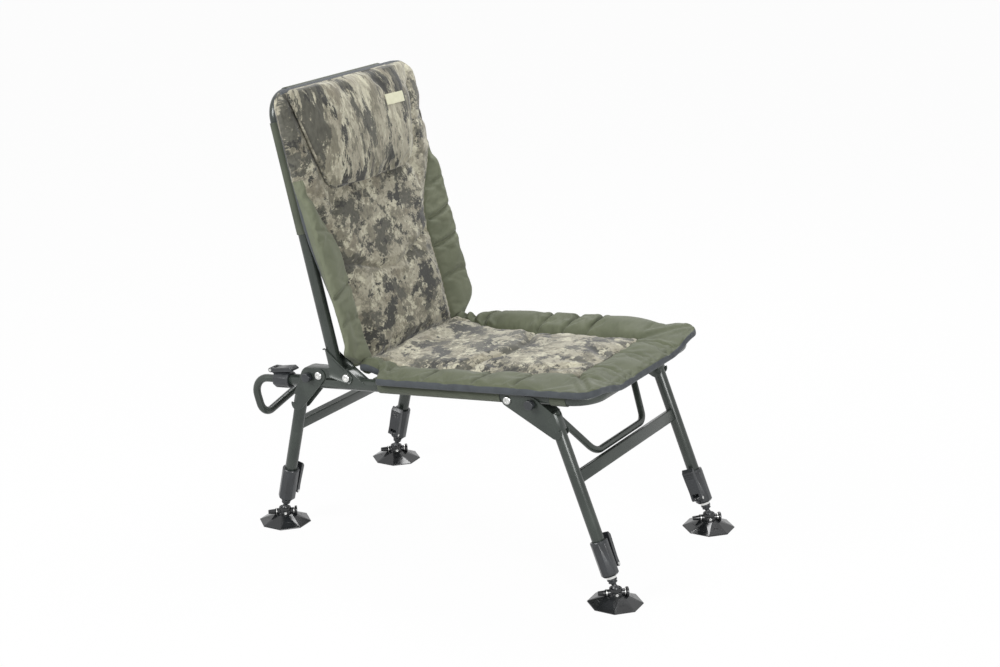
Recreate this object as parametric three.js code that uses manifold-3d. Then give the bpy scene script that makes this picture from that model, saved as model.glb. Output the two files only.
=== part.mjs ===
// Folding carp fishing chair: a tubular steel seat and back, four telescopic legs on swivelling mud
// feet, a sliding rear bar, and a padded seat, back and head pillow.
// Millimetres. +Z is up, the sitter faces -Y, and the origin lies on the ground under the middle of the
// chair's overall length.
import * as THREE from "three";
import { mergeVertices } from "three/addons/utils/BufferGeometryUtils.js";
import Module from "manifold-3d";

const wasm = await Module();
wasm.setup();

// Whole chair
const FOOT_SPREAD_X = 420;
const FOOT_SPREAD_Y = 776;
const RAIL_HEIGHT = 357.9;
const SEAT_TILT_DEG = 6.54;
const BACK_LEAN_DEG = 14.8;

// Clearances: between touching pieces, round a pin, and past a face that a tool cuts through
const GAP = 0.3;
const PIN_FIT = 0.3;
const OVERRUN = 2;

// Tube stock and sheet steel
const TUBE_RADIUS = 12.5;
const CHEEK = 2.5;
const CHANNEL_FIT = 0.3;

// Seat frame, in the tilted seat's own axes: y runs back along the rails, z is square to them
const SEAT_FRONT = 330;
const RAIL_BEND = 45;
const FRONT_HINGE_Y = -159;
const FRONT_HINGE_DROP = 5;
const FRONT_KNOB_Y = -211;
const FRONT_KNOB_DROP = 9;
const BACK_HINGE_Y = 212;
const BACK_HINGE_RISE = 16.35;
const REAR_HINGE_Y = 280;
const REAR_HINGE_RISE = 17.5;
const REAR_KNOB_Y = 305.4;
const REAR_KNOB_RISE = 14;

// Rear brackets: folded channels that stand on the rails
const BRACKET_FRONT = 166;
const BRACKET_REAR = 322;
const BRACKET_TOP = 33;
const BRACKET_ROUND = 13.5;
const BRACKET_WALL = 2.2;
const SLOT_START = 238;
const SLOT_LENGTH = 27;
const SLOT_LOW = 8.5;
const SLOT_HEIGHT = 4;

// Hinge bolts and lock knobs
const BOLT_RADIUS = 3;
const BOLT_HEAD_RADIUS = 8.2;
const BOLT_HEAD_HEIGHT = 4.2;
const BOLT_SOCKET_RADIUS = 3.4;
const BOLT_SOCKET_DEPTH = 1.6;
const NUT_RADIUS = 6;
const NUT_HEIGHT = 4.5;
const KNOB_RADIUS = 10;
const KNOB_HEIGHT = 11;
const KNOB_CHAMFER = 2.5;
const KNOB_COLLAR_RADIUS = 6.5;
const KNOB_COLLAR = 2;

// Back frame, in axes whose origin is the back hinge and whose z runs up the back
const BACK_TUBE_SETBACK = 28.7;
const BACK_TUBE_START = 23.3;
const BACK_TOP = 569;
const BACK_BEND = 45;
const BACK_PLATE_ROUND = 13;
const BACK_PLATE_TIP_Y = 38.5;
const BACK_PLATE_TIP_Z = 62;
const BACK_PLATE_HEEL_Z = 8;
const BACK_PLATE_TIP_ROUND = 3;
const RIB_WIDTH = 2.4;
const RIB_HEIGHT = 0.8;
const RIB_INSET = 5;

// Legs: the hinge stands off the leg's axis, in front of it or behind it
const BALL_HEIGHT = 28;
const FRONT_HINGE_OFFSET = 78;
const REAR_HINGE_OFFSET = 40.6;
const FRONT_LEG_TOP = 358;
const REAR_LEG_TOP = 270;
const LEG_WALL = 2.1;
const FRONT_PLATE_ROUND = 13;
const FRONT_PLATE_LOW = 322;
const FRONT_PLATE_HIGH = 346;
const REAR_PLATE_ROUND = 15;
const REAR_KNOB_ROUND = 19;
const REAR_PLATE_LOW = 236;
const PLATE_EDGE_ROUND = 13.8;

// Crossbars and the front brace, measured up the leg from the ball
const FRONT_BAR_UP = 224.7;
const REAR_BAR_UP = 199;
const CROSSBAR_DEPTH = 24;
const CROSSBAR_THICK = 15;
const CROSSBAR_WALL = 1.6;
const CROSSBAR_CORNER = 2.5;
const BRACE_RADIUS = 7;
const BRACE_END_UP = 376;
const BRACE_END_BACK = 37.6;
const BRACE_STUB = 18;
const BRACE_STUB_BEND = 14;
const BRACE_LOW_HALF = 102;
const BRACE_LOW_BACK = 8.5;
const BRACE_LOW_GAP = 1;
const BRACE_BEND = 34;

// Cam clamps, along their own axis from the mouth that the inner tube leaves by
const CLAMP_LENGTH = 71.5;
const CLAMP_FLATS = 33;
const CLAMP_CHAMFER = 4;
const CLAMP_SEAT = 33;
const CLAMP_COLLAR = 5.5;
const CLAMP_COLLAR_RADIUS = 17.4;
const CLAMP_SLIT = 2;
const CLAMP_SLIT_STOP = 12;
const CAM_UP = 15;
const CAM_OUT = 21.2;
const CAM_PIN_RADIUS = 2.2;
const EAR_HALF_WIDTH = 7;
const EAR_RADIUS = 5;
const LEVER_WIDTH = 25;
const LEVER_EYE_RADIUS = 4.8;
const LEVER_LENGTH = 65;
const LEVER_INSIDE = 17;
const LEVER_THICK = 4.2;
const LEVER_TOE = 7.5;
const LEG_CLAMP_UP = 27.5;
const REAR_EXTENSION = -3;

// Inner legs and ball stems, measured up from the ball
const INNER_RADIUS = 10;
const INNER_WALL = 1.6;
const INNER_LENGTH = 215;
const INNER_START = 22.5;
const BALL_RADIUS = 8.5;
const NECK_RADIUS = 5.4;
const STEM_FLARE_UP = 13;
const STEM_FLARE_RADIUS = 9.6;
const PLUG_LENGTH = 24;

// Mud feet
const FOOT_RADIUS = 54;
const FOOT_SIDES = 8;
const FOOT_RIM = 2.4;
const FOOT_WALL = 2.4;
const FOOT_SHOULDER_RADIUS = 17;
const FOOT_SHOULDER_HEIGHT = 17.5;
const FOOT_YAW_DEG = -50;
const FOOT_SKIRT_TURN_DEG = 8.5;
const FOOT_HOLE_LENGTH = 13;
const FOOT_HOLE_WIDTH = 6;
const FOOT_HOLE_OUT = 36;
const CUP_RADIUS = 12.5;
const CUP_TOP = 31.5;
const CUP_FLOOR = 6.5;
const LUG_RADIUS = 6.8;
const LUG_REACH = 20;
const CAP_RADIUS = 10;
const CAP_THICK = 5;
const TOGGLE_RADIUS = 5;
const TOGGLE_REACH = 36;

// Rear bar: its arms slide in the rails' rear ends
const BAR_RADIUS = 8;
const BAR_BORE_DEPTH = 170;
const BAR_IN_RAIL = 165;
const BAR_TURN_BEYOND = 62;
const BAR_TURN_BEND = 34;
const BAR_DROP = 84;
const BAR_DROP_IN = 4;
const BAR_DROP_FORWARD = 14;
const BAR_LOW_BEND = 22;
const BAR_RISE = 36;
const BAR_RISE_FORWARD = 6;
const BAR_MIDDLE_HALF = 60;
const BAR_MIDDLE_BEND = 60;

// Tail clamps: shorter ones on the rails' rear ends, with the cam just past the mouth
const TAIL_CLAMP_START = 360;
const TAIL_CLAMP_LENGTH = 41;
const TAIL_CLAMP_SEAT = 17;
const TAIL_CAM_UP = -3;
const TAIL_LEVER_LENGTH = 55;

// Fabric slings: a flat sheet with sleeves that wrap the tubes
const SLING = 1.8;
const SEAT_SLING_REAR = 158;
const SEAT_SLEEVE_REAR = 140;
const SEAT_SLEEVE_SPLIT = -140;
const SEAT_SLEEVE_RESUME = -250;
const BACK_SLING_LOW = 20;
const BACK_SLING_LOW_HALF = 186;
const BACK_SLEEVE_LOW = 282;
const BACK_SLEEVE_STEP = 12;

// Seat cushion, in the seat's axes
const SEAT_PAD_HALF = 237;
const SEAT_PAD_FRONT = 347;
const SEAT_PAD_SHOULDER = 160;
const SEAT_PAD_REAR = 201;
const SEAT_PAD_REAR_HALF = 186;
const SEAT_PAD_CORNER = 34;
const SEAT_PAD_EDGE = 13;
const SEAT_PAD_BOLSTER = 36;
const SEAT_PAD_SEAM = 17;
const SEAT_PAD_PANEL = 28;
const SEAT_PAD_REAR_HEIGHT = 14;
const SEAT_BORDER = 71;
const SEAT_PANEL_FRONT_HALF = 125;
const SEAT_PANEL_REAR_HALF = 160;
const QUILT_DIP = 6;

// Back cushion, in the back's axes
const BACK_PAD_HALF = 240;
const BACK_PAD_LOW = 12;
const BACK_PAD_LOW_HALF = 184;
const BACK_PAD_SHOULDER_LOW = 34;
const BACK_PAD_SHOULDER = 66;
const BACK_PAD_TOP = 580;
const BACK_PAD_CORNER = 34;
const BACK_PAD_EDGE = 12;
const BACK_PAD_WING = 33;
const BACK_PAD_SEAM = 17;
const BACK_PAD_PANEL = 27;
const BACK_PAD_LOW_HEIGHT = 15;
const WAIST_HALF = 158;
const WAIST_HEIGHT = 232;
const WING_TIP_HEIGHT = 404;
const LUMBAR_SEAM = 214;

// Head pillow and its tag
const PILLOW_LOW = 368;
const PILLOW_TOP = 576;
const PILLOW_LOW_HALF = 144;
const PILLOW_TOP_HALF = 205;
const PILLOW_CORNER = 26;
const PILLOW_EDGE = 9;
const PILLOW_THICK = 36;
const TAG_WIDTH = 46;
const TAG_HEIGHT = 19;
const TAG_THICK = 1.2;
const TAG_X = 128;
const TAG_Z = 515;
const TAG_TURN_DEG = 3;

// How finely round and soft things are divided
const TUBE_SIDES = 12;
const HUG_SIDES = 16;
const THIN_SIDES = 8;
const PIN_SIDES = 10;
const BEND_STEPS = 5;
const HULL_STEPS = 12;
const CUP_SIDES = 8;

const RAIL_HALF = FOOT_SPREAD_X / 2;
const SEAT_TILT = THREE.MathUtils.degToRad(SEAT_TILT_DEG);
const BACK_LEAN = THREE.MathUtils.degToRad(BACK_LEAN_DEG);
const CHANNEL_INNER = TUBE_RADIUS + CHANNEL_FIT;
const CHANNEL_OUTER = CHANNEL_INNER + CHEEK;
const SIDES = { left: 1, right: -1 };

// Materials

function finish(color, roughness, metalness) {
  return new THREE.MeshStandardMaterial({ color, roughness, metalness });
}

const steel = finish(0x666c66, 0.5, 0.4);
const plastic = finish(0x232427, 0.5, 0);
const zinc = finish(0xd8d8d4, 0.25, 0.9);
const olive = finish(0x5b6345, 0.9, 0);
const camo = finish(0x9c937b, 0.95, 0);
const cream = finish(0xe6e0b8, 0.8, 0);

// Solids: every geometry is merged to a closed surface whose faces point out

function signedVolume(positions, index) {
  const corner = [new THREE.Vector3(), new THREE.Vector3(), new THREE.Vector3()];
  let total = 0;
  for (let i = 0; i < index.length; i += 3) {
    corner.forEach((point, k) => point.fromArray(positions, 3 * index[i + k]));
    total += corner[0].dot(corner[1].clone().cross(corner[2]));
  }
  return total / 6;
}

function toSolid(geometry) {
  const bare = geometry.clone();
  bare.deleteAttribute("normal");
  bare.deleteAttribute("uv");
  const merged = mergeVertices(bare);
  const positions = merged.attributes.position.array;
  const triangles = [];
  const all = merged.index.array;
  for (let i = 0; i < all.length; i += 3) {
    const [a, b, c] = [all[i], all[i + 1], all[i + 2]];
    if (a !== b && b !== c && c !== a) triangles.push(a, b, c);
  }
  if (signedVolume(positions, triangles) < 0) {
    triangles.reverse();
  }
  const vertProperties = new Float32Array(positions);
  const triVerts = new Uint32Array(triangles);
  return new wasm.Manifold(new wasm.Mesh({ numProp: 3, vertProperties, triVerts }));
}

function toGeometry(solid) {
  const { vertProperties, triVerts } = solid.getMesh();
  const geometry = new THREE.BufferGeometry();
  geometry.setAttribute("position", new THREE.BufferAttribute(vertProperties, 3));
  geometry.setIndex(new THREE.BufferAttribute(triVerts, 1));
  return geometry;
}

function combine(base, { add = [], cut = [], keep = [] }) {
  let solid = toSolid(base);
  for (const piece of add) solid = solid.add(toSolid(piece));
  for (const piece of keep) solid = solid.intersect(toSolid(piece));
  for (const piece of cut) solid = solid.subtract(toSolid(piece));
  return toGeometry(solid);
}

function mesh(name, geometry, material) {
  const result = new THREE.Mesh(toGeometry(toSolid(geometry)), material);
  result.name = name;
  return result;
}

function moved(geometry, x, y, z) {
  return geometry.clone().translate(x, y, z);
}

function mirrored(geometry) {
  return geometry.clone().scale(-1, 1, 1);
}

// Outlines and simple forms

function ringPoints(radius, sides) {
  const points = [];
  for (let i = 0; i < sides; i += 1) {
    const angle = (2 * Math.PI * (i + 0.5)) / sides;
    points.push(new THREE.Vector2(radius * Math.cos(angle), radius * Math.sin(angle)));
  }
  return points;
}

// The tight outline round some discs, each given as [x, y, radius]
function hullShape(discs, steps = HULL_STEPS) {
  const cloud = [];
  for (const [x, y, radius] of discs) {
    for (const point of ringPoints(radius, steps)) cloud.push([x + point.x, y + point.y]);
  }
  cloud.sort((a, b) => a[0] - b[0] || a[1] - b[1]);
  const turn = (o, a, b) => (a[0] - o[0]) * (b[1] - o[1]) - (a[1] - o[1]) * (b[0] - o[0]);
  const chain = (points) => {
    const line = [];
    for (const point of points) {
      while (line.length > 1 && turn(line.at(-2), line.at(-1), point) <= 0) line.pop();
      line.push(point);
    }
    return line.slice(0, -1);
  };
  const loop = [...chain(cloud), ...chain(cloud.reverse())];
  return new THREE.Shape(loop.map(([x, y]) => new THREE.Vector2(x, y)));
}

// A shape drawn in y and z, given thickness from one x to another
function alongX(shape, from, to) {
  const geometry = new THREE.ExtrudeGeometry(shape, { depth: to - from, bevelEnabled: false });
  const turn = new THREE.Matrix4().set(0, 0, 1, from, 1, 0, 0, 0, 0, 1, 0, 0, 0, 0, 0, 1);
  return geometry.applyMatrix4(turn);
}

function box(low, high) {
  const size = high.map((value, i) => value - low[i]);
  const middle = high.map((value, i) => (value + low[i]) / 2);
  return new THREE.BoxGeometry(...size).translate(...middle);
}

// A profile of [radius, height] pairs turned about z
function turned(profile, sides) {
  const points = profile.map(([radius, height]) => new THREE.Vector2(radius, height));
  const geometry = new THREE.LatheGeometry(points, sides, Math.PI / sides);
  return geometry.rotateX(Math.PI / 2);
}

function rod(radius, from, to, sides = PIN_SIDES) {
  return turned([[0, from], [radius, from], [radius, to], [0, to]], sides);
}

function rodX(radius, from, to, y, z, sides = PIN_SIDES) {
  return rod(radius, from, to, sides).rotateY(Math.PI / 2).translate(0, y, z);
}

function rodY(radius, from, to, x, z, sides = PIN_SIDES) {
  return rod(radius, from, to, sides).rotateX(-Math.PI / 2).translate(x, 0, z);
}

// Bent tubes: straight runs with round corners, stepped only round the bends

class Route extends THREE.Curve {
  constructor(stations) {
    super();
    this.stations = stations;
  }

  getUtoTmapping(u) {
    return u;
  }

  getPoint(t) {
    const last = this.stations.length - 1;
    const place = Math.min(Math.max(t, 0), 1) * last;
    const index = Math.min(Math.floor(place + 1e-9), last - 1);
    return this.stations[index].clone().lerp(this.stations[index + 1], place - index);
  }

  getTangent(t) {
    const last = this.stations.length - 1;
    const index = Math.round(t * last);
    const direction = new THREE.Vector3();
    if (index > 0) {
      direction.add(this.stations[index].clone().sub(this.stations[index - 1]).normalize());
    }
    if (index < last) {
      direction.add(this.stations[index + 1].clone().sub(this.stations[index]).normalize());
    }
    return direction.normalize();
  }
}

function bentStations(corners, bends) {
  const stations = [corners[0].clone()];
  for (let i = 1; i < corners.length - 1; i += 1) {
    const arriving = corners[i].clone().sub(corners[i - 1]).normalize();
    const leaving = corners[i + 1].clone().sub(corners[i]).normalize();
    const angle = arriving.angleTo(leaving);
    const radius = bends[i - 1];
    const inward = leaving.clone().addScaledVector(arriving, -leaving.dot(arriving)).normalize();
    const start = corners[i].clone().addScaledVector(arriving, -radius * Math.tan(angle / 2));
    for (let step = 0; step <= BEND_STEPS; step += 1) {
      const turn = (angle * step) / BEND_STEPS;
      const point = start.clone().addScaledVector(arriving, radius * Math.sin(turn));
      stations.push(point.addScaledVector(inward, radius * (1 - Math.cos(turn))));
    }
  }
  stations.push(corners.at(-1).clone());
  return stations;
}

function bentTube(corners, bends, radius, sides) {
  const stations = bentStations(corners, bends);
  const section = new THREE.Shape(ringPoints(radius, sides));
  const extrudePath = new Route(stations);
  return new THREE.ExtrudeGeometry(section, { steps: stations.length - 1, extrudePath });
}

// Soft forms: loops of equal length, skinned from one to the next and capped at both ends

function loft(loops) {
  const count = loops[0].length;
  const positions = loops.flat().flatMap((point) => point.toArray());
  const index = [];
  for (let row = 0; row < loops.length - 1; row += 1) {
    for (let k = 0; k < count; k += 1) {
      const next = (k + 1) % count;
      const [a, b] = [row * count + k, row * count + next];
      const [c, d] = [a + count, b + count];
      index.push(a, b, c, b, d, c);
    }
  }
  for (const [row, flip] of [[0, true], [loops.length - 1, false]]) {
    const centre = loops[row].reduce((sum, point) => sum.add(point), new THREE.Vector3());
    const middle = positions.length / 3;
    positions.push(...centre.divideScalar(count).toArray());
    for (let k = 0; k < count; k += 1) {
      const [a, b] = [row * count + k, row * count + ((k + 1) % count)];
      index.push(...(flip ? [b, a, middle] : [a, b, middle]));
    }
  }
  const geometry = new THREE.BufferGeometry();
  geometry.setAttribute("position", new THREE.Float32BufferAttribute(positions, 3));
  geometry.setIndex(index);
  return geometry;
}

function smooth(value, from, to) {
  return THREE.MathUtils.smoothstep(value, from, to);
}

function mix(from, to, share) {
  return from + (to - from) * share;
}

// A round corner: how much narrower a pad is at a distance from its end
function cornerInset(distance, radius) {
  if (distance >= radius) return 0;
  return radius - Math.sqrt(Math.max(0, radius * radius - (radius - distance) ** 2));
}

// Places across half a pad, from the edge to the seam and from the seam to the middle
const BORDER_SHARES = [0.08, 0.28, 0.52, 0.76, 0.92, 1];
const PANEL_SHARES = [0.12, 0.45, 0.75, 1];

// One section of a padded panel with a stuffed border. Across is x, and rise(x) stands off the base.
function padLoop(half, seam, base, edge, border, panel, seamRise, place) {
  const side = [[half - base.tuck, 0], [half, edge * 0.5], [half - base.tuck * 0.4, edge]];
  for (const share of BORDER_SHARES) {
    const swell = Math.sin(Math.PI * Math.min(share, 0.999)) ** 0.7;
    const floor = mix(edge, seamRise, share);
    side.push([mix(half, seam, share), floor + (border - Math.max(edge, seamRise)) * swell]);
  }
  for (const share of PANEL_SHARES) {
    side.push([mix(seam, 0, share), mix(seamRise, panel, Math.sin((Math.PI / 2) * share))]);
  }
  const loop = side.map(([x, rise]) => place(x, rise));
  for (const [x, rise] of side.slice(0, -1).reverse()) loop.push(place(-x, rise));
  loop.push(place(-half * 0.5, 0), place(half * 0.5, 0));
  return loop;
}

// Pieces of the seat's own group

function onSeat(y, z) {
  return {
    y: y * Math.cos(SEAT_TILT) + z * Math.sin(SEAT_TILT),
    z: RAIL_HEIGHT - y * Math.sin(SEAT_TILT) + z * Math.cos(SEAT_TILT),
  };
}

const RAIL_END = TAIL_CLAMP_START + TAIL_CLAMP_LENGTH - TAIL_CLAMP_SEAT - GAP;

function seatFrame() {
  const corners = [
    new THREE.Vector3(RAIL_HALF, RAIL_END, 0),
    new THREE.Vector3(RAIL_HALF, -SEAT_FRONT, 0),
    new THREE.Vector3(-RAIL_HALF, -SEAT_FRONT, 0),
    new THREE.Vector3(-RAIL_HALF, RAIL_END, 0),
  ];
  const cut = [];
  for (const side of Object.values(SIDES)) {
    const x = side * RAIL_HALF;
    const reach = TUBE_RADIUS + OVERRUN;
    const bore = [RAIL_END - BAR_BORE_DEPTH, RAIL_END + OVERRUN];
    cut.push(rodY(BAR_RADIUS + PIN_FIT, ...bore, x, 0, HUG_SIDES));
    cut.push(rodX(BOLT_RADIUS + PIN_FIT, x - reach, x + reach, FRONT_HINGE_Y, -FRONT_HINGE_DROP));
  }
  return combine(bentTube(corners, [RAIL_BEND, RAIL_BEND], TUBE_RADIUS, TUBE_SIDES), { cut });
}

function bracketShape(inset, foot) {
  const round = BRACKET_ROUND - inset;
  const height = BRACKET_TOP - BRACKET_ROUND;
  return hullShape([
    [BACK_HINGE_Y, height, round],
    [BRACKET_REAR - BRACKET_ROUND, height, round],
    [BRACKET_FRONT + inset, foot, 0],
    [BRACKET_REAR - inset, foot, 0],
  ]);
}

function rearBracket(side) {
  const x = side * RAIL_HALF;
  const half = TUBE_RADIUS;
  const hollow = half - BRACKET_WALL;
  const cut = [
    alongX(bracketShape(BRACKET_WALL, -OVERRUN), x - hollow, x + hollow),
    rodY(TUBE_RADIUS + GAP, BRACKET_FRONT - OVERRUN, BRACKET_REAR + OVERRUN, x, 0, HUG_SIDES),
    box(
      [x - half - OVERRUN, SLOT_START, SLOT_LOW],
      [x + half + OVERRUN, SLOT_START + SLOT_LENGTH, SLOT_LOW + SLOT_HEIGHT],
    ),
  ];
  for (const [y, z] of [[BACK_HINGE_Y, BACK_HINGE_RISE], [REAR_HINGE_Y, REAR_HINGE_RISE]]) {
    cut.push(rodX(BOLT_RADIUS + PIN_FIT, x - half - OVERRUN, x + half + OVERRUN, y, z));
  }
  return combine(alongX(bracketShape(0, 0), x - half, x + half), { cut });
}

function hingeBolt(side, y, z) {
  const inner = -CHANNEL_OUTER - GAP;
  const outer = CHANNEL_OUTER + GAP;
  const profile = [
    [0, inner - NUT_HEIGHT],
    [NUT_RADIUS, inner - NUT_HEIGHT],
    [NUT_RADIUS, inner],
    [BOLT_RADIUS, inner],
    [BOLT_RADIUS, outer],
    [BOLT_HEAD_RADIUS, outer],
    [BOLT_HEAD_RADIUS, outer + BOLT_HEAD_HEIGHT / 2],
    [BOLT_SOCKET_RADIUS, outer + BOLT_HEAD_HEIGHT],
    [BOLT_SOCKET_RADIUS, outer + BOLT_HEAD_HEIGHT - BOLT_SOCKET_DEPTH],
    [0, outer + BOLT_HEAD_HEIGHT - BOLT_SOCKET_DEPTH],
  ];
  return turned(profile, PIN_SIDES).rotateY((side * Math.PI) / 2).translate(side * RAIL_HALF, y, z);
}

// A pull knob whose pin stands in the plate's hole, with its nose at the mouth of the frame's hole
function lockPin(side, y, z) {
  const face = CHANNEL_OUTER + GAP;
  const pin = rod(BOLT_RADIUS, TUBE_RADIUS + GAP, face + KNOB_COLLAR);
  const collar = rod(KNOB_COLLAR_RADIUS, face, face + KNOB_COLLAR);
  const low = face + KNOB_COLLAR;
  const high = low + KNOB_HEIGHT;
  const grip = turned(
    [
      [0, low],
      [KNOB_RADIUS - KNOB_CHAMFER / 2, low],
      [KNOB_RADIUS, low + KNOB_CHAMFER],
      [KNOB_RADIUS, high - KNOB_CHAMFER],
      [KNOB_RADIUS - KNOB_CHAMFER, high],
      [0, high],
    ],
    6,
  );
  const knob = combine(pin, { add: [collar, grip] });
  return knob.rotateY((side * Math.PI) / 2).translate(side * RAIL_HALF, y, z);
}

function sleeve(from, to, radius) {
  const outer = radius + GAP + SLING;
  const inner = radius + GAP;
  return turned([[inner, from], [outer, from], [outer, to], [inner, to], [inner, from]], HUG_SIDES);
}

function sleeveY(from, to, x, z) {
  return sleeve(from, to, TUBE_RADIUS).rotateX(-Math.PI / 2).translate(x, 0, z);
}

function roundedSheet(halfWidth, low, high, lowRound, highRound) {
  return hullShape([
    [halfWidth - lowRound, low + lowRound, lowRound],
    [lowRound - halfWidth, low + lowRound, lowRound],
    [halfWidth - highRound, high - highRound, highRound],
    [highRound - halfWidth, high - highRound, highRound],
  ]);
}

function seatSling() {
  const low = TUBE_RADIUS + GAP;
  const outline = roundedSheet(RAIL_HALF, -SEAT_FRONT, SEAT_SLING_REAR, RAIL_BEND, SLING);
  const sheet = new THREE.ExtrudeGeometry(outline, { depth: SLING, bevelEnabled: false });
  const add = [];
  const cut = [];
  for (const side of Object.values(SIDES)) {
    const x = side * RAIL_HALF;
    add.push(sleeveY(SEAT_SLEEVE_SPLIT, SEAT_SLEEVE_REAR, x, 0));
    add.push(sleeveY(RAIL_BEND - SEAT_FRONT + OVERRUN, SEAT_SLEEVE_RESUME, x, 0));
    cut.push(rodY(low, -SEAT_FRONT, SEAT_SLING_REAR + OVERRUN, x, 0, HUG_SIDES));
  }
  return combine(sheet.translate(0, 0, low), { add, cut });
}

// Half width of the seat cushion at a place along the seat
function seatPadHalf(y) {
  const front = cornerInset(y + SEAT_PAD_FRONT, SEAT_PAD_CORNER);
  const rear = smooth(y, SEAT_PAD_SHOULDER - SEAT_PAD_CORNER, SEAT_PAD_SHOULDER);
  return mix(SEAT_PAD_HALF - front, SEAT_PAD_REAR_HALF, rear);
}

// Shares of the seat cushion's length where rows stand, closer at its ends and seams
const SEAT_ROW_SHARES = [
  0, 0.012, 0.03, 0.06, 0.1, 0.125, 0.136, 0.15, 0.2, 0.26, 0.3, 0.33, 0.36, 0.42, 0.48, 0.51, 0.54, 0.6,
  0.66, 0.69, 0.72, 0.78, 0.84, 0.88, 0.91, 0.94, 0.97, 1,
];
const SEAT_QUILT_SHARES = [0.33, 0.51, 0.69, 0.91];

function seatCushion() {
  const low = TUBE_RADIUS + GAP + SLING + GAP;
  const length = SEAT_PAD_FRONT + SEAT_PAD_REAR;
  const loops = SEAT_ROW_SHARES.map((share) => {
    const y = share * length - SEAT_PAD_FRONT;
    const toFront = y + SEAT_PAD_FRONT;
    const toRear = SEAT_PAD_REAR - y;
    const half = seatPadHalf(y);
    const nose = Math.sin((Math.PI / 2) * Math.min(1, toFront / SEAT_BORDER + 0.05)) ** 0.6;
    const heel = smooth(toRear, 0, SEAT_PAD_CORNER);
    const dip = QUILT_DIP * Math.max(...SEAT_QUILT_SHARES.map((at) => 1 - smooth(Math.abs(share - at), 0, 0.03)));
    const inBorder = 1 - smooth(toFront, SEAT_BORDER - SEAT_PAD_CORNER, SEAT_BORDER);
    const rise = (full) => SEAT_PAD_REAR_HEIGHT + (full - SEAT_PAD_REAR_HEIGHT) * nose * heel;
    const border = rise(SEAT_PAD_BOLSTER - dip);
    const panel = mix(rise(SEAT_PAD_PANEL - dip / 2), border, inBorder);
    const seamRise = mix(rise(SEAT_PAD_SEAM), border, inBorder);
    const seam = Math.min(mix(SEAT_PANEL_FRONT_HALF, SEAT_PANEL_REAR_HALF, share), half - SEAT_PAD_EDGE);
    return padLoop(half, seam, { tuck: QUILT_DIP }, SEAT_PAD_EDGE, border, panel, seamRise, (x, z) => (
      new THREE.Vector3(x, y, low + z)
    ));
  });
  return loft(loops);
}

// Pieces of the back's own group

function backFrame() {
  const corners = [
    new THREE.Vector3(RAIL_HALF, BACK_TUBE_SETBACK, BACK_TUBE_START),
    new THREE.Vector3(RAIL_HALF, BACK_TUBE_SETBACK, BACK_TOP),
    new THREE.Vector3(-RAIL_HALF, BACK_TUBE_SETBACK, BACK_TOP),
    new THREE.Vector3(-RAIL_HALF, BACK_TUBE_SETBACK, BACK_TUBE_START),
  ];
  return bentTube(corners, [BACK_BEND, BACK_BEND], TUBE_RADIUS, TUBE_SIDES);
}

// A pressed channel: two cheeks of one outline, joined by a web that wraps the tube on one side.
// webSide is the side of the tube, along y, that the web is on, between heights webLow and webHigh.
function channelPlate(side, discs, tubeY, webSide, webLow, webHigh, holes) {
  const x = side * RAIL_HALF;
  const far = 10 * CHANNEL_OUTER;
  const [low, high] = [webLow - far, webHigh + far];
  const beside = (halfWidth, from, to) => {
    const open = [x - halfWidth, webSide > 0 ? tubeY - far : tubeY, from];
    return box(open, [x + halfWidth, webSide > 0 ? tubeY : tubeY + far, to]);
  };
  const whole = (halfWidth, from, to) => (
    box([x - halfWidth, tubeY - far, from], [x + halfWidth, tubeY + far, to])
  );
  const inside = [
    moved(rod(CHANNEL_INNER, webLow, webHigh, HUG_SIDES), x, tubeY, 0),
    beside(CHANNEL_INNER, low, high),
    whole(CHANNEL_INNER, webHigh, high),
    whole(CHANNEL_INNER, low, webLow),
  ];
  const outside = combine(moved(rod(CHANNEL_OUTER, low, high, HUG_SIDES), x, tubeY, 0), {
    add: [
      beside(CHANNEL_OUTER + OVERRUN, low, high),
      whole(CHANNEL_OUTER + OVERRUN, webHigh, high),
      whole(CHANNEL_OUTER + OVERRUN, low, webLow),
    ],
  });
  const cut = inside.concat(holes.map(([y, z]) => (
    rodX(BOLT_RADIUS + PIN_FIT, x - CHANNEL_OUTER - OVERRUN, x + CHANNEL_OUTER + OVERRUN, y, z)
  )));
  const blank = alongX(hullShape(discs), x - CHANNEL_OUTER, x + CHANNEL_OUTER);
  return combine(blank, { keep: [outside], cut });
}

// Shares along the plate's front edge that its pressed rib covers
const RIB_SHARES = [0.2, 0.62];

function backPlate(side) {
  const tip = [BACK_PLATE_TIP_Y, BACK_PLATE_TIP_Z];
  const discs = [
    [0, 0, BACK_PLATE_ROUND],
    [...tip, BACK_PLATE_TIP_ROUND],
    [BACK_PLATE_TIP_Y, BACK_PLATE_HEEL_Z, BACK_PLATE_TIP_ROUND],
  ];
  const webLow = BACK_TUBE_START + CHEEK / 2;
  const plate = channelPlate(side, discs, BACK_TUBE_SETBACK, 1, webLow, BACK_PLATE_TIP_Z, [[0, 0]]);
  const slope = Math.atan2(tip[1], tip[0]);
  const ribEnds = RIB_SHARES.map((share) => {
    const inward = mix(BACK_PLATE_ROUND, BACK_PLATE_TIP_ROUND, share) - RIB_INSET;
    const y = tip[0] * share - inward * Math.sin(slope);
    return [y, tip[1] * share + inward * Math.cos(slope), RIB_WIDTH / 2];
  });
  const face = side * (RAIL_HALF + CHANNEL_OUTER);
  const [from, to] = [face - side * RIB_HEIGHT, face + side * RIB_HEIGHT].sort((a, b) => a - b);
  return combine(plate, { add: [alongX(hullShape(ribEnds), from, to)] });
}

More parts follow.
